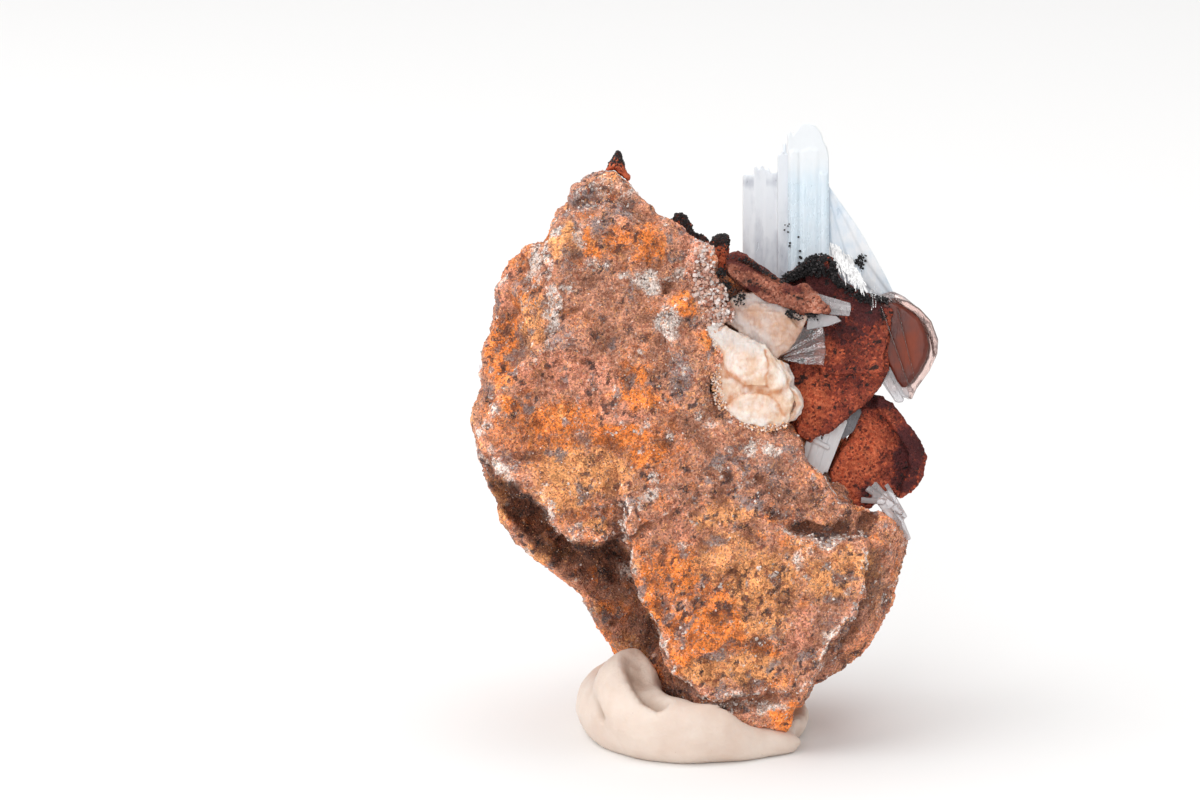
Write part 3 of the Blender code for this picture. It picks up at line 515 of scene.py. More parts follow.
def makeGossan():
    look = rockColours
    material, tree, shader = newMaterial("gossan")
    vector = objectSpace(tree)
    fine = grains(tree, vector, 0.17)
    coarse = grains(tree, vector, 0.6)
    warm = attributeColour(tree, "stainWarm")
    cool = attributeColour(tree, "stainCool")
    masks = (warm["Red"], warm["Green"], warm["Blue"], cool["Red"], cool["Green"], cool["Blue"])
    colour = look["brown"]
    for name, mask in zip(stainOrder, masks):
        edge = ragged(tree, mask, fine["Pick"], coarse["Tone"], 0.4)
        colour = mixColour(tree, calculate(tree, "MULTIPLY", edge, stainShares[name]), colour, look[name])
    # a few grains are grey, glowing, pale or black
    for low, high, name, share in ((0.0, 0.05, "grey", 0.5), (0.80, 0.9, "glow", 0.5), (0.93, 0.95, "pale", 0.4),
                                   (0.96, 1.0, "dark", 0.6)):
        chosen = calculate(tree, "MULTIPLY", calculate(tree, "GREATER_THAN", fine["Pick"], low),
                           calculate(tree, "LESS_THAN", fine["Pick"], high))
        colour = mixColour(tree, calculate(tree, "MULTIPLY", chosen, share), colour, look[name])
    tones = ramp(tree, fine["Tone"], [(0.0, 0.6), (0.5, 1.0), (1.0, 1.4)])
    colour = mixColour(tree, 1.0, colour, tones, "MULTIPLY")
    for size, low, share in ((0.45, 0.56, 0.75), (1.1, 0.60, 0.6)):
        pock = noiseMask(tree, vector, size, low, low + 0.06, 4.0)
        colour = mixColour(tree, calculate(tree, "MULTIPLY", pock, share), colour, look["pock"])
    blotch = noiseMask(tree, vector, 1.3, 0.35, 0.65, 5.0)
    colour = mixColour(tree, 1.0, colour, ramp(tree, blotch, [(0.0, 0.78), (1.0, 1.25)]), "MULTIPLY")
    # painted shade and painted light: darker in the recesses and in the hollows of the broad relief, lighter on its
    # crests
    deep = attributeColour(tree, "deep")
    relief = ramp(tree, deep["Blue"], [(0.2, 1.3), (0.45, 1.0), (0.6, 0.9), (0.95, 0.45)])
    colour = mixColour(tree, 1.0, colour, relief, "MULTIPLY")
    colour = mixColour(tree, deep["Green"], colour, look["shade"], "MULTIPLY")
    # painted shade: the small hollows are darkened
    hollow = ragged(tree, deep["Red"], fine["Pick"], coarse["Tone"], 0.7)
    colour = mixColour(tree, calculate(tree, "MULTIPLY", hollow, 0.5), colour, look["dirt"])
    tree.links.new(colour, shader.inputs["Base Color"])
    tree.links.new(stretchRange(tree, fine["Pick"], 0.8, 0.97, 0.85, 0.35), shader.inputs["Roughness"])
    shader.inputs["Specular IOR Level"].default_value = 0.25
    height = calculate(tree, "ADD", fine["Height"], coarse["Height"])
    bump(tree, shader, height, 0.9, 0.00016)
    return material


rustLooks = {
    "rustyCoat": {"red": (0.20, 0.037, 0.025), "redDark": (0.06, 0.016, 0.013), "orange": (0.58, 0.105, 0.042),
                  "orangeLight": (0.78, 0.20, 0.09), "black": (0.018, 0.015, 0.015), "maroon": (0.065, 0.016, 0.018)},
    "duskyCoat": {"red": (0.27, 0.082, 0.050), "redDark": (0.09, 0.026, 0.020), "orange": (0.52, 0.17, 0.095),
                  "orangeLight": (0.66, 0.32, 0.23), "black": (0.02, 0.017, 0.017), "maroon": (0.13, 0.026, 0.022)},
}


def makeRust(name, look):
    material, tree, shader = newMaterial(name)
    vector = objectSpace(tree)
    fine = grains(tree, vector, 0.22)
    coarse = grains(tree, vector, 0.6)
    stain = attributeColour(tree, "rustStain")
    red = ramp(tree, fine["Tone"], [(0.0, look["redDark"]), (0.2, look["red"]), (0.85, look["red"]),
                                    (1.0, look["orange"])])
    orange = ramp(tree, fine["Tone"], [(0.0, look["red"]), (0.25, look["orange"]), (0.9, look["orangeLight"])])
    share = calculate(tree, "ADD", stain["Red"], stretchRange(tree, fine["Pick"], 0.0, 1.0, -0.2, 0.2), True)
    colour = mixColour(tree, share, red, orange)
    maroon = calculate(tree, "MULTIPLY", ragged(tree, stain["Blue"], fine["Pick"], coarse["Pick"], 0.4), 0.9)
    colour = mixColour(tree, maroon, colour, look["maroon"])
    black = calculate(tree, "MULTIPLY", ragged(tree, stain["Green"], fine["Pick"], coarse["Pick"], 0.5), 0.92)
    colour = mixColour(tree, black, colour, look["black"])
    blotch = noiseMask(tree, vector, 1.8, 0.3, 0.7, 5.0)
    colour = mixColour(tree, 1.0, colour, ramp(tree, blotch, [(0.0, 0.7), (1.0, 1.25)]), "MULTIPLY")
    tree.links.new(colour, shader.inputs["Base Color"])
    tree.links.new(stretchRange(tree, fine["Pick"], 0.75, 0.95, 0.78, 0.4), shader.inputs["Roughness"])
    shader.inputs["Specular IOR Level"].default_value = 0.25
    bump(tree, shader, calculate(tree, "ADD", fine["Height"], coarse["Height"]), 0.9, 0.00016)
    return material


def makeGrainLook(name, transmission, roughness):
    material, tree, shader = newMaterial(name)
    colour = put(tree, "ShaderNodeAttribute", attribute_name="grainColour").outputs["Color"]
    tone = noiseMask(tree, objectSpace(tree), 0.3, 0.3, 0.7)
    colour = mixColour(tree, 1.0, colour, ramp(tree, tone, [(0.0, 0.8), (1.0, 1.15)]), "MULTIPLY")
    tree.links.new(colour, shader.inputs["Base Color"])
    tree.links.new(stretchRange(tree, tone, 0.0, 1.0, roughness, roughness + 0.25), shader.inputs["Roughness"])
    shader.inputs["Transmission Weight"].default_value = transmission
    shader.inputs["IOR"].default_value = 1.54
    return material


def makeManganese():
    material, tree, shader = newMaterial("blackCrust")
    fine = grains(tree, objectSpace(tree), 0.14)
    colour = ramp(tree, fine["Tone"], [(0.0, (0.008, 0.008, 0.009)), (0.7, (0.022, 0.020, 0.021)),
                                       (1.0, (0.08, 0.07, 0.07))])
    shader.inputs["Specular IOR Level"].default_value = 0.3
    tree.links.new(colour, shader.inputs["Base Color"])
    tree.links.new(ramp(tree, fine["Pick"], [(0.0, 0.4), (1.0, 0.9)]), shader.inputs["Roughness"])
    bump(tree, shader, fine["Height"], 0.6, 0.0001)
    return material


def makeCrystal(name, look):
    # clear or milky barite: fine growth lines run along it, and frost whitens it in places
    material, tree, shader = newMaterial(name)
    lines = objectSpace(tree, (1.0, 1.0, 0.05), look.get("turn", 0.0))
    streaks = noiseMask(tree, lines, 0.4, 0.35, 0.75, 4.0)
    clouds = noiseMask(tree, objectSpace(tree), 2.6, 0.35, 0.8)
    white = calculate(tree, "ADD", calculate(tree, "MULTIPLY", streaks, 0.6), clouds)
    white = calculate(tree, "MULTIPLY", white, look["streak"], True)
    frosted = put(tree, "ShaderNodeAttribute", attribute_name="frost").outputs["Fac"]
    white = calculate(tree, "ADD", white, frosted, True)
    tree.links.new(mixColour(tree, white, look["colour"], look["frost"]), shader.inputs["Base Color"])
    rough = stretchRange(tree, white, 0.0, 1.0, look["roughness"], look["roughness"] + 0.4)
    tree.links.new(rough, shader.inputs["Roughness"])
    shader.inputs["Transmission Weight"].default_value = look["transmission"]
    shader.inputs["IOR"].default_value = 1.64
    shader.inputs["Specular IOR Level"].default_value = look.get("specular", 0.5)
    absorb = put(tree, "ShaderNodeVolumeAbsorption", values={"Color": (*look["tint"], 1), "Density": look["density"]})
    tree.links.new(absorb.outputs["Volume"], tree.nodes["Material Output"].inputs["Volume"])
    bump(tree, shader, streaks, 0.3, 0.00008)
    return material


crystalLooks = {
    "blueBarite": {"colour": (0.71, 0.85, 0.95), "frost": (0.92, 0.95, 0.975), "transmission": 0.2, "roughness": 0.2,
                   "tint": (0.45, 0.70, 0.85), "density": 30.0, "streak": 0.35},
    "streakyBarite": {"colour": (0.47, 0.50, 0.57), "frost": (0.88, 0.915, 0.96), "transmission": 0.2,
                      "roughness": 0.2, "tint": (0.60, 0.64, 0.72), "density": 30.0, "streak": 0.6},
    "fanBarite": {"colour": (0.66, 0.78, 0.90), "frost": (0.96, 0.97, 0.99), "transmission": 0.12,
                  "roughness": 0.2, "tint": (0.55, 0.75, 0.88), "density": 20.0, "streak": 0.6, "turn": -32.0},
    "featherFrost": {"colour": (0.97, 0.97, 0.98), "frost": (0.98, 0.98, 0.98), "transmission": 0.0,
                     "roughness": 0.45, "tint": (0.9, 0.9, 0.9), "density": 1.0, "streak": 0.3},
    "clearBarite": {"colour": (0.98, 0.96, 0.96), "frost": (0.97, 0.93, 0.92), "transmission": 0.96,
                    "roughness": 0.02, "tint": (0.9, 0.80, 0.78), "density": 12.0, "streak": 0.15, "turn": -60.0},
    "frostyBarite": {"colour": (0.90, 0.885, 0.91), "frost": (0.97, 0.96, 0.965), "transmission": 0.35,
                     "roughness": 0.2, "tint": (0.80, 0.76, 0.84), "density": 25.0, "streak": 0.6, "turn": 20.0},
    "glassyBarite": {"colour": (0.80, 0.78, 0.81), "frost": (0.95, 0.93, 0.94), "transmission": 0.7,
                     "roughness": 0.06, "tint": (0.60, 0.55, 0.60), "density": 120.0, "streak": 0.6, "turn": 30.0},
    "greyBarite": {"colour": (0.13, 0.125, 0.14), "frost": (0.40, 0.39, 0.42), "transmission": 0.4,
                   "roughness": 0.15, "tint": (0.35, 0.35, 0.40), "density": 200.0, "streak": 0.35},
    "amberBarite": {"colour": (0.065, 0.013, 0.011), "frost": (0.235, 0.043, 0.017), "specular": 0.2, "transmission": 0.1,
                    "roughness": 0.16, "tint": (0.85, 0.30, 0.15), "density": 150.0, "streak": 0.5, "turn": -24.0},
    "pinkBarite": {"colour": (0.95, 0.78, 0.73), "frost": (0.95, 0.82, 0.78), "specular": 0.3, "transmission": 0.94,
                   "roughness": 0.04, "tint": (0.90, 0.50, 0.42), "density": 90.0, "streak": 0.3, "turn": -24.0},
}
crystals = {name: makeCrystal(name, look) for name, look in crystalLooks.items()}


def makeCalcite(name, look):
    material, tree, shader = newMaterial(name)
    lines = objectSpace(tree, (1.0, 1.0, 0.2), look["turn"])
    stain = attributeColour(tree, "calciteStain")
    clouds = noiseMask(tree, objectSpace(tree), 1.8, 0.4, 0.6, 5.0)
    fibres = noiseMask(tree, lines, 0.5, 0.35, 0.7, 4.0)
    pale = mixColour(tree, calculate(tree, "MULTIPLY", clouds, 0.9), look["pale"], look["colour"])
    edge = calculate(tree, "MULTIPLY", stain["Red"], calculate(tree, "ADD", fibres, 0.5), True)
    mixed = mixColour(tree, calculate(tree, "MULTIPLY", edge, look["seamShare"]), pale, look["seam"])
    mixed = mixColour(tree, stain["Green"], mixed, look["glass"])
    tree.links.new(mixed, shader.inputs["Base Color"])
    tree.links.new(stretchRange(tree, fibres, 0.0, 1.0, 0.22, 0.45), shader.inputs["Roughness"])
    shader.inputs["Subsurface Weight"].default_value = 0.4
    shader.inputs["Subsurface Radius"].default_value = (0.0016, 0.0010, 0.0007)
    shader.inputs["Subsurface Scale"].default_value = 1.0
    bump(tree, shader, fibres, 0.5, 0.00016)
    return material


calciteLooks = {
    "creamCalcite": {"colour": (0.74, 0.49, 0.33), "pale": (0.88, 0.77, 0.70), "seam": (0.58, 0.23, 0.09),
                     "glass": (0.66, 0.62, 0.61), "seamShare": 0.85, "turn": 35.0},
    "peachCalcite": {"colour": (0.56, 0.31, 0.19), "pale": (0.64, 0.49, 0.42), "seam": (0.38, 0.16, 0.10),
                     "glass": (0.60, 0.55, 0.54), "seamShare": 0.5, "turn": -20.0},
}


def makePutty():
    material, tree, shader = newMaterial("putty")
    vector = objectSpace(tree)
    broad = noiseMask(tree, vector, 5.0, 0.3, 0.75)
    prints = noiseMask(tree, vector, 0.7, 0.35, 0.65, 5.0)
    colour = mixColour(tree, broad, (0.79, 0.675, 0.59), (0.68, 0.53, 0.44))
    crease = put(tree, "ShaderNodeAttribute", attribute_name="crease").outputs["Fac"]
    # painted shade: the creases and the inside of the curl are darkened
    colour = mixColour(tree, calculate(tree, "MULTIPLY", crease, 0.8), colour, (0.38, 0.26, 0.19))
    specks = put(tree, "ShaderNodeTexVoronoi", {"Vector": vector}, {"Scale": 900.0}).outputs["Distance"]
    colour = mixColour(tree, stretchRange(tree, specks, 0.03, 0.07, 0.4, 0.0), colour, (0.5, 0.3, 0.2))
    tree.links.new(colour, shader.inputs["Base Color"])
    tree.links.new(ramp(tree, prints, [(0.0, 0.5), (1.0, 0.68)]), shader.inputs["Roughness"])
    shader.inputs["Subsurface Weight"].default_value = 0.2
    shader.inputs["Subsurface Radius"].default_value = (0.002, 0.0014, 0.001)
    shader.inputs["Subsurface Scale"].default_value = 1.0
    bump(tree, shader, prints, 0.25, 0.0002)
    return material


gossan = makeGossan()
rusts = {name: makeRust(name, look) for name, look in rustLooks.items()}
looseGrains = makeGrainLook("looseGrains", 0.0, 0.35)
quartzGrains = makeGrainLook("quartzGrains", 0.2, 0.15)
blackCrust = makeManganese()
creamCalcite = makeCalcite("creamCalcite", calciteLooks["creamCalcite"])
peachCalcite = makeCalcite("peachCalcite", calciteLooks["peachCalcite"])
puttyLook = makePutty()
print("materials made")


# The host rock

rockForm = {
    "voxel": 0.30, "smooth": 1, "lumps": 0.8, "clods": 0.38, "pits": 0.24,
    "cracks": [(4.5, 61, 0.7), (1.9, 67, 0.45)],  # each: size, seed, depth
    "sandPieces": 3, "sandGrains": 15000, "sandSize": (0.04, 0.085), "quartzGrains": 4200, "quartzSize": (0.07, 0.23),
}

# ledges of the front: a line, how far the side on its left stands out, how far that reaches, how pale its crest is
# (pale grains with a painted highlight) and how dark the painted shade at its foot is
ledges = [
    ([(-6.3, 55.0), (-8.1, 55.9), (-10.3, 56.4), (-12.3, 56.0), (-14.0, 55.2)], 0.9, 1.6, 0.4, 0.5),
    ([(-14.8, 54.1), (-15.7, 51.6), (-15.1, 47.6), (-15.0, 43.1)], 1.1, 2.0, 0.9, 0.25),
    ([(-15.0, 43.1), (-17.3, 40.8), (-19.1, 38.9), (-20.6, 36.6), (-21.0, 34.7), (-21.6, 30.8)], 1.3, 2.4, 0.45, 0.4),
    ([(-21.6, 30.8), (-20.6, 29.0), (-18.3, 27.8), (-15.8, 25.8), (-15.1, 23.8), (-12.8, 22.6), (-10.3, 22.1),
      (-8.5, 23.0)], 1.6, 2.2, 0.6, 1.0),
    ([(-22.5, 29.6), (-21.1, 26.6), (-19.1, 24.1), (-16.8, 22.1), (-14.3, 20.6), (-11.3, 19.4), (-8.5, 17.6)], -0.6, 1.0,
     0.3, 0.5),
    ([(-8.3, 26.6), (-7.6, 23.0), (-7.3, 19.8), (-6.3, 16.6), (-4.2, 13.0), (-3.8, 11.1)], 1.5, 2.0, 0.9, 0.9),
    ([(-3.8, 11.1), (-2.8, 8.9), (-0.6, 7.1), (1.2, 6.4), (4.0, 7.1), (8.1, 7.1)], 0.9, 1.4, 0.7, 0.5),
    ([(8.5, 23.9), (10.8, 22.7), (13.1, 22.5), (15.8, 23.6)], -1.1, 1.6, 0.8, 0.9),
    ([(16.0, 23.0), (16.3, 17.5), (14.7, 15.1), (13.1, 13.0), (11.7, 9.8), (9.7, 6.6)], -1.0, 1.8, 0.6, 0.4),
    ([(-0.9, 51.6), (-1.6, 49.4), (-3.2, 47.6), (-4.4, 45.0), (-3.6, 42.6), (-2.4, 39.6)], 0.5, 0.9, 0.3, 0.3),
    ([(-18.6, 52.0), (-17.4, 48.6), (-18.3, 44.6), (-18.0, 41.2)], 0.5, 1.0, 0.3, 0.2),
    ([(-2.6, 33.6), (0.4, 31.0), (3.6, 30.2), (5.6, 27.6), (8.4, 26.4)], -0.5, 1.2, 0.2, 0.5),
]
# small deep holes of the front: place, radius, depth
holes = [
    ((-3.1, 47.9), 0.4, 0.9), ((-11.6, 54.9), 0.5, 0.4), ((-16.4, 34.4), 0.4, 0.4), ((-3.7, 32.2), 0.4, 0.5),
    ((-9.0, 31.9), 0.4, 0.4), ((1.9, 38.2), 0.8, 1.0), ((2.4, 29.0), 0.4, 0.4), ((-2.3, 38.8), 0.4, 0.4),
    ((-10.9, 43.0), 0.3, 0.3), ((-6.3, 42.9), 0.3, 0.3), ((4.8, 7.9), 0.7, 0.4), ((-14.2, 28.8), 0.4, 0.3),
    ((-19.6, 41.6), 1.3, 0.5), ((7.8, 29.6), 0.4, 0.4), ((-4.9, 15.6), 1.0, 0.3), ((5.6, 12.2), 1.1, 0.3),
]

# stains of the front: (x, z), half width, half height, kind, strength; the dark ones in the deep lower-left recess are
# painted shade
frontStains = [
    ((-11.8, 56.9), 1.9, 1.2, "grey", 1.0), ((-8.3, 57.6), 1.2, 1.0, "pale", 0.5),
    ((-7.8, 55.6), 1.3, 1.0, "grey", 0.9), ((-13.7, 52.6), 1.2, 1.8, "ochre", 1.0),
    ((-12.6, 52.6), 0.8, 0.7, "pale", 0.7), ((-11.3, 51.9), 1.0, 1.5, "rust", 1.0),
    ((-10.8, 54.1), 1.6, 1.0, "grey", 0.8), ((-13.1, 51.1), 0.9, 0.8, "grey", 0.7),
    ((-10.8, 50.4), 1.2, 0.8, "pale", 0.6), ((-5.3, 52.1), 2.2, 2.4, "rust", 0.55),
    ((-0.3, 52.1), 1.8, 1.8, "salmon", 0.9), ((0.0, 51.6), 1.2, 1.2, "pale", 0.4),
    ((0.2, 48.1), 1.1, 2.2, "pale", 0.6), ((0.2, 47.9), 1.2, 2.2, "grey", 0.4),
    ((-5.6, 48.4), 1.5, 0.9, "pale", 0.9), ((-2.1, 49.6), 0.8, 0.7, "pale", 0.8),
    ((-3.6, 44.3), 1.5, 1.9, "pale", 1.0), ((-3.8, 45.4), 0.9, 0.6, "dark", 0.6),
    ((-1.8, 46.1), 1.2, 1.2, "rust", 0.8), ((0.9, 42.6), 1.6, 1.8, "rust", 0.7),
    ((-20.6, 47.4), 2.0, 3.6, "salmon", 1.0), ((-20.2, 42.2), 1.5, 4.0, "rust", 1.0),
    ((-17.6, 47.2), 1.8, 3.2, "rust", 0.7), ((-16.8, 50.6), 0.8, 2.2, "pale", 0.8),
    ((-15.2, 44.6), 0.4, 3.0, "pale", 0.8), ((-15.6, 50.0), 0.4, 2.0, "pale", 0.7),
    ((-18.3, 42.5), 0.4, 3.0, "grey", 0.6), ((-10.6, 47.4), 4.5, 2.2, "grey", 0.22),
    ((-10.6, 47.4), 5.5, 2.6, "plain", 0.8), ((-9.0, 43.0), 5.0, 2.4, "plain", 0.7),
    ((-13.6, 39.1), 5.0, 2.2, "salmon", 0.95), ((-7.1, 39.1), 2.0, 1.6, "rust", 0.6),
    ((-10.8, 43.1), 0.7, 0.6, "dark", 0.8), ((-6.3, 42.9), 0.8, 0.5, "dark", 0.8),
    ((-2.3, 38.8), 1.5, 2.6, "grey", 0.85), ((-18.8, 35.9), 1.4, 1.2, "rust", 0.9),
    ((-16.1, 33.1), 1.2, 1.6, "rust", 1.0), ((-13.8, 32.1), 2.2, 1.0, "rust", 0.9),
    ((-10.3, 35.1), 5.2, 2.2, "salmon", 0.95), ((-5.8, 31.4), 2.0, 1.6, "rust", 0.9),
    ((-3.8, 31.9), 0.7, 0.8, "dark", 0.6), ((-11.1, 31.1), 1.3, 0.8, "dark", 0.5),
    ((-13.6, 27.9), 3.4, 2.6, "ochre", 0.8), ((-10.3, 23.9), 1.2, 0.7, "ochre", 1.0),
    ((-19.3, 30.1), 2.2, 1.0, "grey", 0.7), ((-15.3, 25.6), 0.6, 2.0, "pale", 0.6),
    ((-12.3, 23.1), 3.4, 0.5, "pale", 0.5), ((-20.6, 26.6), 1.4, 2.8, "ochre", 0.6),
    # painted shade: the dark patches on this line and the next lie in the deep lower-left recess
    ((-17.8, 26.1), 1.8, 2.4, "dark", 0.6), ((-11.8, 21.0), 4.0, 1.4, "dark", 0.6),
    ((-10.3, 18.2), 2.2, 1.2, "dark", 1.0), ((-8.8, 14.6), 1.4, 2.6, "dark", 1.0),
    ((-7.8, 19.1), 0.7, 2.2, "pale", 0.7), ((-5.3, 17.9), 1.2, 3.0, "rust", 1.0),
    ((-3.8, 14.6), 1.3, 1.8, "rust", 1.0), ((-0.6, 24.2), 4.5, 3.2, "salmon", 0.7),
    ((-0.6, 20.7), 0.9, 0.4, "rust", 1.0), ((2.2, 18.1), 1.5, 1.2, "dark", 0.45),
    ((2.0, 17.0), 3.6, 3.0, "rust", 0.7), ((5.7, 12.1), 3.0, 1.3, "rust", 1.0),
    ((5.0, 12.3), 2.2, 0.6, "dark", 0.6), ((-1.8, 11.6), 2.0, 2.0, "rust", 1.0),
    ((6.4, 15.4), 3.0, 3.2, "ochre", 0.65), ((14.2, 19.8), 3.2, 1.9, "ochre", 1.0),
    ((12.2, 22.9), 3.0, 0.7, "grey", 1.0), ((12.4, 22.3), 2.6, 0.25, "pale", 0.8),
    # painted shade: the first two dark patches here lie in the deep lower-left recess
    ((-10.0, 15.4), 1.5, 2.6, "dark", 0.9), ((-8.6, 12.6), 1.0, 2.0, "dark", 0.8), ((9.2, 24.0), 1.2, 0.6, "grey", 0.9),
    ((11.2, 25.1), 3.0, 1.4, "plain", 0.9), ((13.2, 16.6), 1.7, 0.5, "grey", 0.9),
    ((12.2, 12.6), 2.6, 3.0, "plain", 0.9), ((7.2, 10.1), 1.2, 0.6, "grey", 0.8),
    ((4.9, 7.9), 1.1, 1.4, "dark", 0.6), ((8.7, 5.0), 2.2, 1.3, "rust", 1.0),
    ((1.9, 5.7), 3.0, 0.6, "pale", 0.7), ((6.2, 5.9), 2.5, 0.5, "pale", 0.7),
    ((-1.8, 7.4), 2.5, 1.0, "grey", 0.5), ((3.7, 31.1), 6.0, 5.0, "plain", 0.8),
    ((7.2, 29.1), 2.2, 2.0, "grey", 0.5), ((4.9, 32.1), 0.9, 1.2, "pale", 0.9),
    ((7.0, 31.6), 1.0, 0.8, "pale", 0.7), ((2.7, 28.9), 0.6, 1.2, "grey", 0.9),
    ((10.7, 27.1), 2.0, 1.6, "plain", 0.9), ((8.4, 27.6), 0.6, 0.6, "dark", 0.7),
    ((16.9, 17.4), 1.4, 4.2, "grey", 0.45), ((18.7, 16.6), 0.7, 2.2, "dark", 0.7),
    ((9.0, 36.0), 1.0, 2.0, "salmon", 0.6), ((0.0, 34.6), 0.9, 0.9, "pale", 0.7),
    ((2.0, 25.0), 4.0, 1.6, "ochre", 0.5), ((-3.4, 28.0), 2.0, 1.6, "grey", 0.3),
    ((-14.0, 34.6), 5.0, 2.2, "rust", 0.6), ((-8.0, 33.2), 4.0, 1.4, "rust", 0.7),
    ((-12.0, 29.4), 5.2, 2.6, "ochre", 0.75), ((-2.0, 19.4), 3.4, 3.4, "rust", 0.55),
    ((3.0, 20.6), 4.4, 3.0, "ochre", 0.6), ((1.0, 13.6), 5.0, 2.2, "rust", 0.8),
    ((9.6, 19.6), 3.4, 3.0, "ochre", 0.6), ((9.0, 13.6), 3.0, 2.6, "salmon", 0.7),
    ((4.0, 9.8), 4.4, 1.6, "ochre", 0.7), ((-17.0, 44.6), 1.6, 3.0, "ochre", 0.6),
    ((-8.6, 52.6), 1.6, 1.6, "rust", 0.5), ((-6.6, 36.6), 3.6, 1.2, "rust", 0.6),
    ((-10.2, 57.6), 2.6, 1.0, "pale", 0.42), ((-7.4, 57.0), 1.4, 1.0, "pale", 0.5),
    ((-20.4, 41.8), 1.6, 4.4, "rust", 1.0), ((-18.6, 51.9), 0.5, 0.4, "dark", 1.0),
    ((-15.4, 51.2), 0.4, 0.4, "dark", 1.0), ((-14.2, 50.6), 0.5, 0.5, "dark", 0.8),
    ((-15.4, 21.2), 3.2, 1.0, "ochre", 0.7), ((6.0, 18.6), 4.6, 3.4, "ochre", 0.7),
    ((12.6, 18.6), 2.6, 2.6, "ochre", 0.7), ((0.4, 9.6), 2.4, 1.6, "ochre", 0.8),
]


def frontShare(points, normals):
    # 1 on the face that the photograph shows, 0 on the sides and the back
    return np.clip(-normals[:, 1] * 2 + 0.9, 0, 1) * np.clip((13.0 - points[:, 1]) / 4, 0, 1)


def wobbled(points, size, amount, seed):
    # x and z, with a waver that keeps edges from being smooth
    waver = np.stack([fractal(points, size, seed) - 0.5, fractal(points, size, seed + 1) - 0.5], axis=1)
    return points[:, [0, 2]] + waver * amount


# the deep places of the front that light hardly reaches: outlines in x and z, how dark, and how softly they end
recesses = [
    ([(-21.8, 31.0), (-20.6, 29.0), (-18.3, 27.8), (-15.8, 25.8), (-15.1, 23.8), (-12.8, 22.6), (-10.3, 22.1), (-8.6, 23.0),
      (-7.3, 19.8), (-6.3, 16.6), (-4.2, 13.0), (-5.6, 10.0), (-8.9, 11.4), (-10.6, 14.4), (-12.8, 18.2), (-16.4, 21.0),
      (-19.6, 24.6), (-22.0, 28.4)], 1.0, 0.9),
    ([(8.4, 24.6), (9.0, 23.6), (10.8, 22.9), (13.1, 22.8), (15.4, 23.8), (14.6, 24.8), (11.6, 24.2)], 0.5, 0.5),
    ([(16.3, 22.6), (16.5, 17.5), (14.9, 15.1), (13.3, 13.0), (12.2, 10.4), (15.0, 12.2), (17.6, 16.4), (18.6, 21.0)],
     0.45, 0.9),
    ([(-6.2, 55.4), (-8.1, 56.1), (-10.3, 56.7), (-12.6, 56.3), (-11.8, 58.0), (-9.0, 58.8), (-7.0, 57.6)], 0.15, 0.8),
    ([(-3.4, 10.8), (-0.6, 6.8), (1.2, 6.1), (4.2, 6.7), (3.8, 5.4), (0.4, 4.8), (-3.0, 8.0)], 0.5, 0.5),
    ([(-0.8, 38.6), (2.4, 39.6), (2.2, 37.2), (2.0, 34.6), (0.4, 34.8)], 0.35, 0.7),
]


def inside(here, outline):
    # which points lie within an outline
    result = np.zeros(len(here), dtype=bool)
    for (x0, z0), (x1, z1) in zip(outline, outline[1:] + outline[:1]):
        crosses = (z0 > here[:, 1]) != (z1 > here[:, 1])
        if z0 != z1:
            result ^= crosses & (here[:, 0] < (x1 - x0) * (here[:, 1] - z0) / (z1 - z0) + x0)
    return result


def rockRelief(points, normals):
    here = wobbled(points, 1.8, 1.4, 31)
    total = np.zeros(len(points))
    for line, height, reach, _, _ in ledges:
        away, side = nearestOnLine(here, line)
        ends = np.minimum(np.linalg.norm(here - line[0], axis=1), np.linalg.norm(here - line[-1], axis=1))
        out = height * side
        out = np.where(out > 0, out, out * 1.4)
        total += out * np.tanh(away / 0.2) * np.exp(-away / reach) * np.clip(ends / 1.5, 0, 1)
    for size, seed, depth in rockForm["cracks"]:
        near = 1 - np.abs(fractal(points, size, seed) - 0.5) / 0.02
        total -= depth * np.clip(near, 0, 1) * patches(points, size, seed + 3, 0.5, 6)
    for place, radius, depth in holes:
        away = np.linalg.norm(here - place, axis=1) / radius
        total -= depth * np.exp(-away ** 3)
    for outline, strength, _ in recesses:
        away, _ = nearestOnLine(here, outline + outline[:1])
        total -= 1.6 * strength * np.where(inside(here, outline), np.clip(away / 1.0, 0, 1), 0)
    return total * frontShare(points, normals)


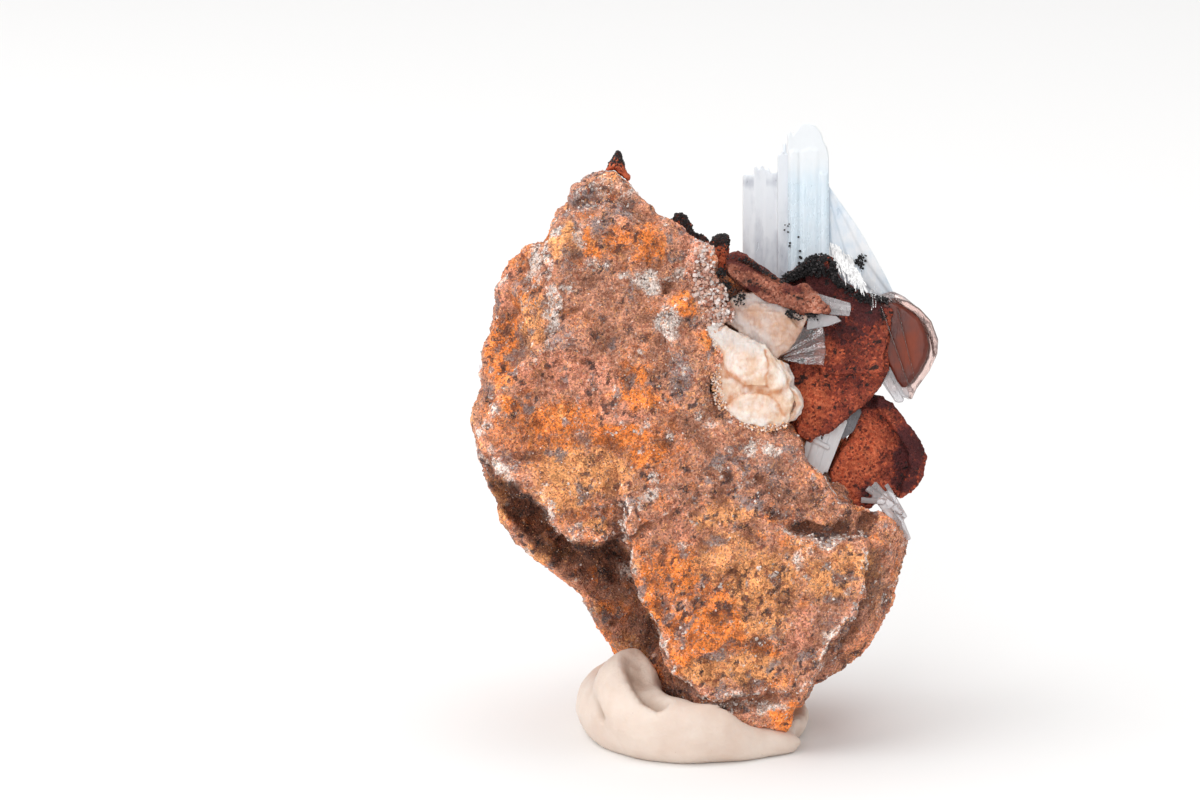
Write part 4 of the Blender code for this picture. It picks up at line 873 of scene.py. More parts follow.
def stainAt(points, normals):
    # how much of each stain lies at each point: the front's patches have their places, the rest is noise.
    # The ledges add pale crests, partly painted highlight, and painted shade at their feet, carried in the dark stain
    here = wobbled(points, 1.6, 2.6, 3)
    front = frontShare(points, normals)
    stains = {
        "rust": np.maximum(patches(points, 7.0, 21, 0.45, 5) * 0.9, patches(points, 1.6, 41, 0.56, 9) * 0.9),
        "salmon": np.maximum(patches(points, 9.0, 22, 0.46, 5) * 0.8, patches(points, 1.4, 42, 0.56, 9) * 0.7),
        "ochre": np.maximum(patches(points, 6.0, 23, 0.60, 6) * 0.8, patches(points, 1.2, 43, 0.62, 9) * 0.8),
        "grey": np.maximum(patches(points, 5.0, 24, 0.60, 6) * 0.6, patches(points, 1.3, 44, 0.60, 9) * 0.8),
        "pale": np.maximum(patches(points, 3.0, 25, 0.68, 7) * 0.8, patches(points, 0.9, 45, 0.70, 9) * 0.7),
        "dark": np.maximum(patches(points, 3.4, 26, 0.70, 7) * 0.7, patches(points, 0.7, 46, 0.66, 9) * 0.8),
    }
    for kind in ("rust", "salmon", "ochre"):
        stains[kind] = stains[kind] * (1 - 0.4 * front)
    stains["dark"] = np.maximum(stains["dark"], patches(points, 0.55, 56, 0.60, 12) * patches(points, 5.0, 57, 0.40, 8))
    for (x, z), wide, high, kind, strength in frontStains:
        away = ((here[:, 0] - x) / wide) ** 2 + ((here[:, 1] - z) / high) ** 2
        patch = np.exp(-away ** 1.5) * front * strength
        if kind in ("rust", "ochre", "salmon"):
            patch = np.clip(patch * 1.5, 0, 1)
        if kind == "plain":
            for other in ("rust", "salmon", "ochre"):
                stains[other] = stains[other] * (1 - patch)
        else:
            stains[kind] = np.maximum(stains[kind] * (1 - patch), patch)
            if kind in ("rust", "ochre"):
                stains["salmon"] = stains["salmon"] * (1 - patch)
    grainy = np.clip(0.5 + 2.2 * (fractal(points, 0.8, 51) - 0.45), 0, 1)
    for line, height, _, rim, foot in ledges:
        away, side = nearestOnLine(here, line)
        recess = side * height < 0
        # pale grains with a painted highlight along the crests, and painted shade at the feet
        crestGrainsAndHighlight = np.exp(-(away / 0.45) ** 2) * np.where(recess, 0.3, 1.5) * front * rim * grainy
        shade = np.exp(-(away / 0.9) ** 1.5) * recess * front * foot * grainy
        stains["pale"] = np.maximum(stains["pale"], crestGrainsAndHighlight)
        stains["dark"] = np.maximum(stains["dark"], shade)
    return stains


def recessShade(points, normals):
    here = wobbled(points, 1.4, 1.6, 71)
    shade = np.zeros(len(points))
    for outline, strength, soft in recesses:
        away, _ = nearestOnLine(here, outline + outline[:1])
        away = np.where(inside(here, outline), away, -away)
        shade = np.maximum(shade, strength * np.clip(0.5 + away / soft, 0, 1))
    return shade * frontShare(points, normals) * (0.55 + 0.9 * fractal(points, 1.2, 73))


def reliefShading(mesh):
    # 0.5 on even ground, more in the hollows and less on the crests: it paints shade into the hollows and light onto
    # the crests
    return np.clip(0.5 + hollowness(mesh, 90) / 1.6, 0, 1)


def makeHostRock():
    rock = voxelSkin(copyNode("host_rock", "hostRock"), rockForm["voxel"], rockForm["smooth"])
    points, normals = meshPoints(rock.data), meshNormals(rock.data)
    movePoints(rock.data, points + normals * rockRelief(points, normals)[:, None])
    voxelSkin(rock, rockForm["voxel"], 0)  # even faces again where the relief has stretched them
    displace(rock, "CLOUDS", 2.4, rockForm["lumps"], 0.5)
    displace(rock, "CLOUDS", 1.0, -rockForm["clods"], 0.4, hard=True)
    displace(rock, "VORONOI", 0.45, -rockForm["pits"], 0.45)
    points, normals = meshPoints(rock.data), meshNormals(rock.data)
    stains = stainAt(points, normals)
    storeColour(rock.data, "stainWarm", np.stack([stains[k] for k in stainOrder[:3]], axis=1))
    storeColour(rock.data, "stainCool", np.stack([stains[k] for k in stainOrder[3:]], axis=1))
    # painted shade for the skin: the small hollows, the recesses and the broad relief
    shade = recessShade(points, normals)
    relief = reliefShading(rock.data)
    storeColour(rock.data, "deep", np.stack([hollowness(rock.data, 12) / 0.18, shade, relief], axis=1))
    return smoothShade(rock, 50), relief


def grainColours(points, normals, relief, rng):
    # each grain takes the stain it lies in, with its own tone, and a few are of another kind; painted shade darkens it
    # in the hollows and recesses, and painted light lightens it on the crests
    stains = stainAt(points, normals)
    colours = np.tile(rockColours["brown"], (len(points), 1))
    for kind in stainOrder:
        share = (np.clip((stains[kind] + rng.normal(0, 0.15, len(points)) - 0.25) * 2.5, 0, 1) * stainShares[kind])[:, None]
        colours = colours * (1 - share) + np.array(rockColours[kind]) * share
    # painted light on the crests and painted shade in the hollows, then painted shade in the recesses
    colours = colours * np.interp(relief, [0.2, 0.45, 0.6, 0.95], [1.3, 1.0, 0.9, 0.45])[:, None]
    shade = np.clip(recessShade(points, normals), 0, 1)[:, None]
    colours = colours * (1 - shade * (1 - np.array(rockColours["shade"])))
    chance = rng.random(len(points))
    for low, high, kind, share in ((0.07, 0.16, "glow", 0.5), (0.16, 0.18, "pale", 0.5), (0.20, 0.32, "pock", 0.8)):
        chosen = (chance >= low) & (chance < high)
        colours[chosen] = colours[chosen] * (1 - share) + np.array(rockColours[kind]) * share
    return colours * rng.uniform(0.7, 1.25, (len(points), 1))


def makeSand(rock, relief, number):
    # loose angular grains that stand proud of the rock, most of them on its face
    def weigh(points, normals):
        return 0.55 + 0.6 * np.clip(-normals[:, 1], 0, 1)
    spots, normals, near = surfaceSpots(rock, rockForm["sandGrains"], 41 + number, weigh)
    rng = np.random.default_rng(81 + number)
    colours = grainColours(spots, normals, relief[near], rng)
    sizes = rng.uniform(*rockForm["sandSize"], len(spots)) * rng.choice([0.8, 1.0, 1.3], len(spots))
    return scatter("looseSand" + "ABC"[number], "grain", spots, sizes, 9 + number, colours)


def makeQuartz(rock):
    # glassy quartz in the pale and grey patches
    def weigh(points, normals):
        stains = stainAt(points, normals)
        return (0.002 + stains["pale"] ** 2 + 0.1 * stains["grey"] ** 2) * (1.02 - recessShade(points, normals).clip(0, 1))
    spots, normals, _ = surfaceSpots(rock, rockForm["quartzGrains"], 47, weigh)
    rng = np.random.default_rng(48)
    tone = rng.choice([0.5, 0.8, 0.95, 1.02], (len(spots), 1))
    colours = np.array([0.96, 0.84, 0.78]) * tone
    sizes = rng.uniform(*rockForm["quartzSize"], len(spots)) * rng.choice([0.6, 0.8, 1.0], len(spots))
    return scatter("quartzGrains", "grain", spots - normals * 0.05, sizes, 49, colours)


rock, rockShading = makeHostRock()
sands = [makeSand(rock, rockShading, number) for number in range(rockForm["sandPieces"])]
quartz = makeQuartz(rock)
finishPiece(rock, gossan, ["host_rock"])
for sand in sands:
    finishPiece(sand, looseGrains)
finishPiece(quartz, quartzGrains)
print("rock, sand and quartz made:", len(rock.data.polygons), "faces in the rock")


# Rust-coated plates

plateForm = {"voxel": 0.15, "grain": 0.14}
# Each plate: its layers (outline, near, far, turn), orange and maroon places ((x, z), half width, half height,
# strength), how much black dusts it, and its seed
upperPlate = [
    (7.8, 47.0), (8.0, 48.7), (9.3, 49.8), (10.9, 50.7), (12.2, 51.1), (13.0, 50.8), (13.4, 49.6), (13.9, 48.6),
    (15.3, 47.7), (17.7, 46.6), (19.5, 46.0), (19.2, 43.6), (18.6, 41.2), (18.7, 39.6), (17.7, 37.8), (16.5, 36.4),
    (14.7, 35.0), (12.9, 33.4), (11.6, 32.9), (10.9, 32.3), (9.6, 33.0), (9.3, 35.6), (8.9, 38.6), (8.6, 41.6),
]
lowerPlate = [
    (15.2, 36.4), (16.5, 37.0), (17.7, 37.0), (18.7, 36.1), (20.2, 34.1), (21.5, 32.6), (22.3, 30.9), (21.9, 29.1),
    (20.9, 27.6), (19.7, 26.9), (18.5, 27.8), (17.4, 26.6), (16.5, 25.6), (14.9, 25.3), (13.5, 25.9), (12.6, 27.8),
    (12.5, 29.6), (13.5, 31.4), (14.7, 32.9), (15.0, 34.8),
]
lowerRim = [
    (17.2, 37.0), (18.7, 36.3), (20.3, 34.3), (21.6, 32.7), (22.4, 30.9), (22.0, 29.0), (20.9, 27.4), (19.6, 26.7),
    (19.9, 28.4), (20.6, 29.8), (20.3, 31.6), (19.2, 33.4), (18.1, 34.8), (16.9, 36.0),
]
longBlade = [
    (2.5, 51.0), (3.3, 51.3), (4.2, 51.0), (5.2, 50.2), (6.6, 49.3), (8.0, 48.4), (9.2, 47.9), (10.3, 48.1),
    (11.2, 47.3), (12.2, 46.5), (12.8, 45.9), (12.6, 45.2), (11.6, 44.9), (9.8, 45.3), (8.2, 45.8), (6.6, 46.4),
    (5.2, 47.2), (4.0, 48.1), (2.9, 49.0), (2.45, 49.6),
]
plates = {
    "rusty_plate_upper": {
        "name": "rustyPlateUpper", "seed": 101, "black": 1.0, "lumps": 0.3, "look": "rustyCoat",
        "layers": [(upperPlate, 6.2, 8.6, (-6, 0, -4)),
                   ([(x - 0.5, z - 0.4) for x, z in upperPlate[3:14]] + [(12.0, 39.0), (10.0, 44.0)], 5.8, 7.4, (-6, 0, -4)),
                   ([(9.0, 33.2), (10.8, 32.6), (13.6, 34.2), (16.2, 36.8), (14.6, 39.4), (12.4, 41.2), (9.4, 40.4)],
                    5.9, 7.6, (-2, 4, -8))],
        "orange": [((10.8, 36.4), 2.6, 3.4, 0.95), ((12.6, 41.0), 1.6, 1.6, 0.6), ((17.0, 39.8), 1.2, 1.6, 0.5)],
        "maroon": [((12.0, 48.4), 3.8, 2.2, 0.95), ((16.4, 45.8), 2.8, 2.0, 0.95), ((14.6, 43.6), 2.4, 1.6, 0.7),
                   ((15.6, 38.6), 1.6, 1.6, 0.45)],
    },
    "rusty_plate_lower": {
        "name": "rustyPlateLower", "seed": 111, "black": 0.3, "lumps": 0.35, "look": "rustyCoat",
        "layers": [(lowerPlate, 8.6, 10.6, (4, 0, 12)), (lowerRim, 7.9, 10.0, (4, 0, 12))],
        "orange": [((16.4, 31.6), 2.8, 3.2, 1.0), ((14.6, 28.6), 2.0, 2.6, 0.9)],
        "maroon": [((20.9, 31.4), 1.5, 3.6, 1.0), ((17.2, 36.4), 2.4, 0.8, 0.9), ((20.6, 28.2), 1.2, 1.0, 0.8)],
    },
    "rusty_blade_long": {
        "name": "rustyBladeLong", "seed": 121, "black": 0.5, "lumps": 0.08, "look": "duskyCoat",
        "fibre": 1.1, "turn": -24.0,
        "layers": [(longBlade, 2.7, 5.6, (0, 0, 5)),
                   ([(2.5, 50.3), (4.0, 50.1), (8.6, 47.6), (8.4, 45.9), (6.4, 46.6), (4.0, 48.1), (2.6, 49.2)],
                    1.9, 3.2, (0, 0, 5)),
                   ([(7.9, 48.3), (9.2, 47.9), (10.3, 48.1), (12.8, 46.0), (12.6, 45.2), (9.8, 45.3), (7.9, 46.3)],
                    1.5, 3.4, (0, 0, -3)),
                   ([(12.9, 45.85), (13.7, 45.7), (13.65, 45.3), (12.9, 45.4)], 3.2, 3.9, (0, 0, 0))],
        "orange": [((11.4, 46.4), 1.8, 0.9, 0.9), ((6.2, 48.0), 3.0, 0.6, 0.5)],
        "maroon": [((3.4, 50.8), 1.8, 0.8, 1.0), ((6.0, 49.7), 2.4, 0.5, 0.9), ((9.0, 47.9), 1.6, 0.4, 0.7),
                   ((4.6, 47.6), 1.2, 0.4, 0.8)],
    },
}


def paintRust(obj, plate):
    points = meshPoints(obj.data)
    here = wobbled(points, 1.2, 2.0, plate["seed"])
    orange = patches(points, 2.6, plate["seed"] + 2, 0.45, 3) * 0.45
    black = patches(points, 0.8, plate["seed"] + 3, 0.66, 9) * plate["black"]
    maroon = patches(points, 3.0, plate["seed"] + 4, 0.6, 6) * 0.5

    def spotted(field, spots):
        for (x, z), wide, high, strength in spots:
            away = ((here[:, 0] - x) / wide) ** 2 + ((here[:, 1] - z) / high) ** 2
            field = np.maximum(field, np.exp(-away ** 1.5) * strength)
        return field
    orange = spotted(orange, plate["orange"])
    maroon = spotted(maroon, plate["maroon"])
    black = np.maximum(black, np.clip(hollowness(obj.data, 8) / 0.12, 0, 1) * 0.6)
    storeColour(obj.data, "rustStain", np.stack([orange * (1 - 0.8 * maroon), black, maroon], axis=1))


def alongGrain(points, turn):
    # the points with their lengthwise distances squeezed, so that noise runs in long fibres
    c, s = math.cos(math.radians(turn)), math.sin(math.radians(turn))
    x, y, z = points.T
    return np.stack([(x * c + z * s) * 0.12, y, z * c - x * s], axis=1)


def roughenPlate(obj, plate):
    voxelSkin(obj, plateForm["voxel"], 1)
    if "fibre" in plate:
        points = meshPoints(obj.data)
        ridges = fractal(alongGrain(points, plate["turn"]), 0.7, plate["seed"] + 9) - 0.5
        movePoints(obj.data, points + meshNormals(obj.data) * ridges[:, None] * plate["fibre"])
    displace(obj, "CLOUDS", 1.3, plate["lumps"], 0.5)
    displace(obj, "CLOUDS", 0.6, -plateForm["grain"], 0.4, hard=True)
    displace(obj, "VORONOI", 0.35, -plateForm["grain"] * 0.8, 0.45)
    paintRust(obj, plate)
    return smoothShade(obj, 50)


for node, plate in plates.items():
    layers = [slab(outline, near, far, 0.06, turn) for outline, near, far, turn in plate["layers"]]
    piece = roughenPlate(joinObjects(plate["name"], layers), plate)
    finishPiece(piece, rusts[plate["look"]], [node])
backPlate = {"seed": 131, "black": 0.9, "lumps": 0.5, "orange": [((-7.0, 24.0), 2.6, 2.0, 0.9), ((2.0, 21.0), 2.0, 1.6, 0.8)],
             "maroon": [((-2.0, 27.0), 2.0, 1.6, 0.9)]}
backPlates = roughenPlate(copyNode("rusty_plates_back", "rustyPlatesBack"), backPlate)
finishPiece(backPlates, rusts["rustyCoat"], ["rusty_plates_back"])
print("plates made")


# Black manganese crust and the furred blades

crustForm = {
    # (x, z) along the upper plate's top edge, with the crust's half width there
    "edge": [((8.0, 48.3), 0.45), ((8.6, 48.9), 0.55), ((9.8, 49.4), 0.6), ((10.9, 50.0), 1.0), ((11.9, 50.2), 1.25),
             ((12.6, 50.1), 1.1), ((13.1, 49.2), 0.4), ((14.0, 48.1), 0.4), ((15.4, 47.3), 0.55), ((16.8, 46.7), 0.65),
             ((18.6, 46.4), 0.55)],
    "near": 5.5, "far": 8.6, "count": 7000, "size": (0.05, 0.17),
    "specks": [(8.2, 54.1), (8.6, 54.2), (8.5, 54), (8.15, 53.6), (8.5, 53.4), (9.55, 52.9), (8.7, 52.3), (8.65, 52),
               (9.7, 51.5), (9.7, 50.9), (9.8, 50.8), (9.6, 50.3)],
    "fuzz": (16.1, 50.7), "clots": [((2.2, 47.9), 0.4), ((3.7, 46.7), 0.4), ((9.4, 45.3), 0.45), ((8.7, 45.2), 0.25),
                                    ((10.9, 45.2), 0.3), ((1.9, 49.4), 0.3)],
}


def alongLine(line, count, seed):
    rng = np.random.default_rng(seed)
    places = np.array([p for p, _ in line])
    widths = np.array([w for _, w in line])
    runs = np.linalg.norm(np.diff(places, axis=0), axis=1)
    share = runs * (widths[:-1] + widths[1:])
    pick = rng.choice(len(runs), count, p=share / share.sum())
    t = rng.random(count)
    x, z = (places[pick] + (places[pick + 1] - places[pick]) * t[:, None]).T
    width = widths[pick] + (widths[pick + 1] - widths[pick]) * t
    angle = rng.uniform(0, math.tau, count)
    out = width * np.sqrt(rng.random(count))
    return x + out * np.cos(angle), z + out * np.sin(angle), rng


def makeCrust():
    x, z, rng = alongLine(crustForm["edge"], crustForm["count"], 51)
    y = rng.uniform(crustForm["near"], crustForm["far"], len(x))
    spots = np.stack([x, y, z], axis=1)
    lumpy = fractal(spots, 0.7, 55) > 0.46  # the crust grows in tufts
    spots = spots[lumpy]
    pieces = [scatter("edgeCrust", "ball", spots, rng.uniform(*crustForm["size"], len(spots)), 52)]
    specks = np.array([(sx, 9.42, sz) for sx, sz in seen(crustForm["specks"], 9.4)])
    pieces.append(scatter("specks", "ball", specks, np.linspace(0.09, 0.17, len(specks)), 53))
    x, z = crustForm["fuzz"]
    fuzz = rng.normal(size=(70, 3)) * (0.28, 0.15, 0.4) + (x, 10.3, z)
    pieces.append(scatter("fuzz", "ball", fuzz, rng.uniform(0.05, 0.15, 70), 54))
    x, z, rng = alongLine([((2.6, 50.9), 0.25), ((4.2, 50.7), 0.3), ((6.6, 49.2), 0.2), ((8.0, 48.3), 0.1)], 500, 59)
    crumbs = np.stack([x, rng.uniform(1.9, 4.2, len(x)), z], axis=1)
    pieces.append(scatter("crumbs", "grain", crumbs, rng.uniform(0.05, 0.13, len(x)), 60))
    for number, ((x, z), spread) in enumerate(crustForm["clots"]):
        clot = rng.normal(size=(90, 3)) * (spread, 0.4, spread * 0.8) + (x, 2.4, z)
        pieces.append(scatter("clot", "ball", clot, rng.uniform(0.04, 0.14, 90), 56 + number))
    return joinObjects("manganeseCrust", pieces)


def makeFurred(node, name, amount, blackFrom, lower=0.0, taper=0.0):
    # small dark blades, furred with manganese towards their tips
    blade = voxelSkin(copyNode(node, name), 0.14, 1)
    points = meshPoints(blade.data)
    points[:, 2] -= lower * np.clip((-2.6 - points[:, 0]) / 0.8, 0, 1)  # its left end stays behind the crest
    peak = points[points[:, 2].argmax()]
    share = taper * np.clip((points[:, 2] - peak[2] + 2.6) / 2.6, 0, 1)
    points[:, 0] += (peak[0] - points[:, 0]) * share
    movePoints(blade.data, points)
    displace(blade, "CLOUDS", 0.6, 0.5, 0.5)
    displace(blade, "CLOUDS", 0.3, -0.2, 0.4, hard=True)
    points = meshPoints(blade.data)
    top = points[:, 2].max()
    black = np.clip((points[:, 2] - top + blackFrom) / 1.2, 0, 1) * np.clip(fractal(points, 0.8, 71) * 4 - 1.0, 0, 1)
    storeColour(blade.data, "rustStain", np.stack([np.full(len(points), 0.8), black, 0.3 * black], axis=1))
    spots, _, _ = surfaceSpots(blade, amount, 61, lambda p, n: np.clip((p[:, 2] - top + blackFrom) / 2, 0.02, 1))
    fur = scatter(name + "Fur", "ball", spots, np.random.default_rng(62).uniform(0.04, 0.13, amount), 63)
    finishPiece(smoothShade(blade, 50), rusts["rustyCoat"], [node])
    finishPiece(fur, blackCrust)


finishPiece(makeCrust(), blackCrust)
makeFurred("ridge_barite_blades", "ridgeBariteBlades", 1800, 3.5, 2.2)
makeFurred("black_tipped_blade", "blackTippedBlade", 300, 1.8, taper=0.6)
makeFurred("dark_red_blade", "darkRedBlade", 500, 2.4)
print("crust made")


# The blue sheaf

sheafForm = {
    # upright columns: left, right, foot, head, near, far, layers in depth, jag of the top
    "columns": [
        (4.0, 5.6, 46.6, 59.2, 11.15, 13.6, 2, 0.25), (5.1, 6.7, 46.4, 60.2, 11.1, 13.4, 2, 0.6),
        (6.2, 7.8, 46.0, 59.4, 11.05, 13.4, 2, 0.25), (7.5, 8.9, 45.6, 61.4, 10.2, 12.9, 2, 0.3),
        (8.0, 8.35, 52.0, 62.3, 10.8, 11.6, 1, 0.1),
    ],
    "tall": [(8.5, 41.8), (8.5, 61.6), (8.45, 63.3), (8.7, 63.5), (9.0, 63.1), (9.3, 63.6), (9.7, 64.15), (10.4, 64.35),
             (11.2, 64.1), (11.8, 63.4), (12.05, 62.5), (12.4, 61.9), (12.6, 61.0), (12.65, 41.8)],
    "outerEdge": [(12.4, 58.3), (13.6, 56.6), (15.1, 54.5), (16.3, 52.6), (17.3, 50.8), (18.2, 49.2), (18.9, 47.7),
                  (19.5, 46.4)],
    "innerEdge": [(12.4, 58.3), (12.42, 55.0), (12.5, 52.0), (12.9, 49.4), (14.2, 47.2), (16.0, 46.0), (17.8, 45.6),
                  (19.5, 46.4)],
    "rays": 6,
}


def jaggedTop(left, right, foot, head, jag, rng, steps=5):
    outline = [(left, foot), (left, head - jag * 1.2)]
    for step in range(steps):
        start = left + (right - left) * (step + 0.15) / steps
        stop = left + (right - left) * (step + 0.85) / steps
        height = head - rng.random() * jag
        outline += [(start, height), (stop, height + rng.uniform(-0.08, 0.08))]
    return outline + [(right, head - jag * 1.1), (right, foot)]


def makeColumns(rng):
    pieces = []
    for left, right, foot, head, near, far, layers, jag in sheafForm["columns"]:
        thick = (far - near) / layers
        for layer in range(layers):
            top = head - rng.uniform(0.2, 0.9) * (layer > 0)
            outline = jaggedTop(left + 0.04 * layer, right - 0.04 * layer, foot + layer * 0.1, top, jag, rng)
            pieces.append(slab(outline, near + layer * thick, near + (layer + 1.1) * thick, 0.05))
    return fuse("streakyColumns", pieces)


def makeTallBlades(rng):
    # a body in three layers, low ridges on its face, and shorter blades behind
    body = []
    for lower, near, far in ((0.0, 9.6, 11.0), (0.4, 10.8, 12.3), (0.9, 12.1, 13.5)):
        outline = [(10.5 + (x - 10.5) * (1 - lower * 0.06), z - lower) for x, z in sheafForm["tall"]]
        body.append(slab(outline, near, far, 0.1))
    for left, right, head, near in ((8.75, 9.5, 61.6, 9.46), (9.9, 11.5, 61.8, 9.5), (11.75, 12.45, 59.4, 9.42)):
        body.append(slab(jaggedTop(left, right, 42.4, head, 0.3, rng, 3), near, 9.9, 0.05))
    body.append(slab(jaggedTop(6.4, 10.8, 43.0, 57.2, 0.5, rng), 12.8, 15.4, 0.08, (3, 0, 6)))
    body.append(slab(jaggedTop(10.2, 15.0, 42.0, 53.4, 0.6, rng), 12.4, 14.6, 0.08, (4, 12, -4)))
    body.append(slab(jaggedTop(8.8, 12.6, 42.0, 50.6, 0.4, rng), 14.4, 16.6, 0.08, (-14, 4, 10)))
    return fuse("tallBlades", body)


def makeSweptFan():
    # curved blades that share their foot at the lower right
    outer, inner = np.array(sheafForm["outerEdge"]), np.array(sheafForm["innerEdge"])
    count = sheafForm["rays"]
    pieces = []
    for ray in range(count):
        first = outer + (inner - outer) * ray / count
        second = outer + (inner - outer) * min((ray + 1.2) / count, 1.0)
        outline = [tuple(p) for p in first] + [tuple(p) for p in second[-2:0:-1]]
        near = 10.35 + 0.10 * (ray % 2) + 0.04 * ray
        pieces.append(slab(outline, near, 12.3 - 0.05 * ray, 0.03))
    return fuse("sweptFan", pieces)


def frostBy(obj, weigh):
    storeValue(obj.data, "frost", weigh(meshPoints(obj.data)))
    return obj


def evenGrid(obj, voxel):
    # even faces on a crisp shape, so that frost fades along it
    return voxelSkin(obj, voxel, 0)


sheafRng = np.random.default_rng(17)
columns = evenGrid(makeColumns(sheafRng), 0.11)
tall = evenGrid(makeTallBlades(sheafRng), 0.13)
fan = evenGrid(makeSweptFan(), 0.11)
def columnFrost(points):
    # white towards the top, with a smoky band below the two outer ends
    x, z = points[:, 0], points[:, 2]
    band = np.exp(-((z - 58.7) / 0.5) ** 2) * ((x < 5.4) | ((x > 6.6) & (x < 7.7)))
    return np.clip((z - 51.0) / 8, 0, 0.7) + 1.6 * (fractal(points * (1, 1, 0.35), 1.0, 81) - 0.45) - 0.8 * band


frostBy(columns, columnFrost)
frostBy(tall, lambda p: np.clip((p[:, 2] - 58.5) / 3.5, 0, 1) + 0.3 * (fractal(p, 1.5, 83) - 0.5))
frostBy(fan, lambda p: 0.15 + 1.0 * (fractal(p, 1.2, 82) - 0.35))
for piece in (columns, tall, fan):
    smoothShade(piece, 40)
finishPiece(columns, crystals["streakyBarite"])
finishPiece(fan, crystals["fanBarite"])
finishPiece(tall, crystals["blueBarite"], ["blue_barite_sheaf"])
print("sheaf made")


# Feathery white barite over the fan's foot

# strands that hang over the fan's foot and a few that cross the plate: their number, steps, first place, how far
# they spread from it, their lean and the size of their flakes
strandForm = [
    {"strands": 52, "steps": 14, "place": (12.9, 9.9, 52.4), "spread": (2.6, 0.3, -1.8), "lean": (0.0, 0.6),
     "size": (0.10, 0.32)},
    {"strands": 52, "steps": 12, "place": (13.5, 5.3, 51.0), "spread": (2.4, 0.2, -1.7), "lean": (0.0, 0.7),
     "size": (0.08, 0.27)},
    {"strands": 9, "steps": 15, "place": (16.9, 5.5, 47.9), "spread": (1.3, 0.1, -0.3), "lean": (-0.12, 0.12),
     "size": (0.04, 0.12)},
]


def makeFeathers():
    rng = np.random.default_rng(91)
    spots, axes, sizes = [], [], []
    for form in strandForm:
        for _ in range(form["strands"]):
            place = np.array(form["place"]) + np.array(form["spread"]) * rng.random() + (0, 0, rng.uniform(-0.5, 0.4))
            lean = rng.uniform(*form["lean"])
            for step in range(rng.integers(4, form["steps"])):
                spots.append(place + (lean * step * 0.18, rng.uniform(-0.06, 0.1), -step * 0.2))
                axes.append((lean + rng.normal() * 0.3, -0.25 + rng.normal() * 0.2, -1.0))
                sizes.append(rng.uniform(*form["size"]))
    return scatter("featheryFrost", "flake", spots, sizes, 92, axes=np.array(axes))


finishPiece(frostBy(makeFeathers(), lambda p: 0.9 + 0 * p[:, 0]), crystals["featherFrost"])


# Clear, grey and amber crystals

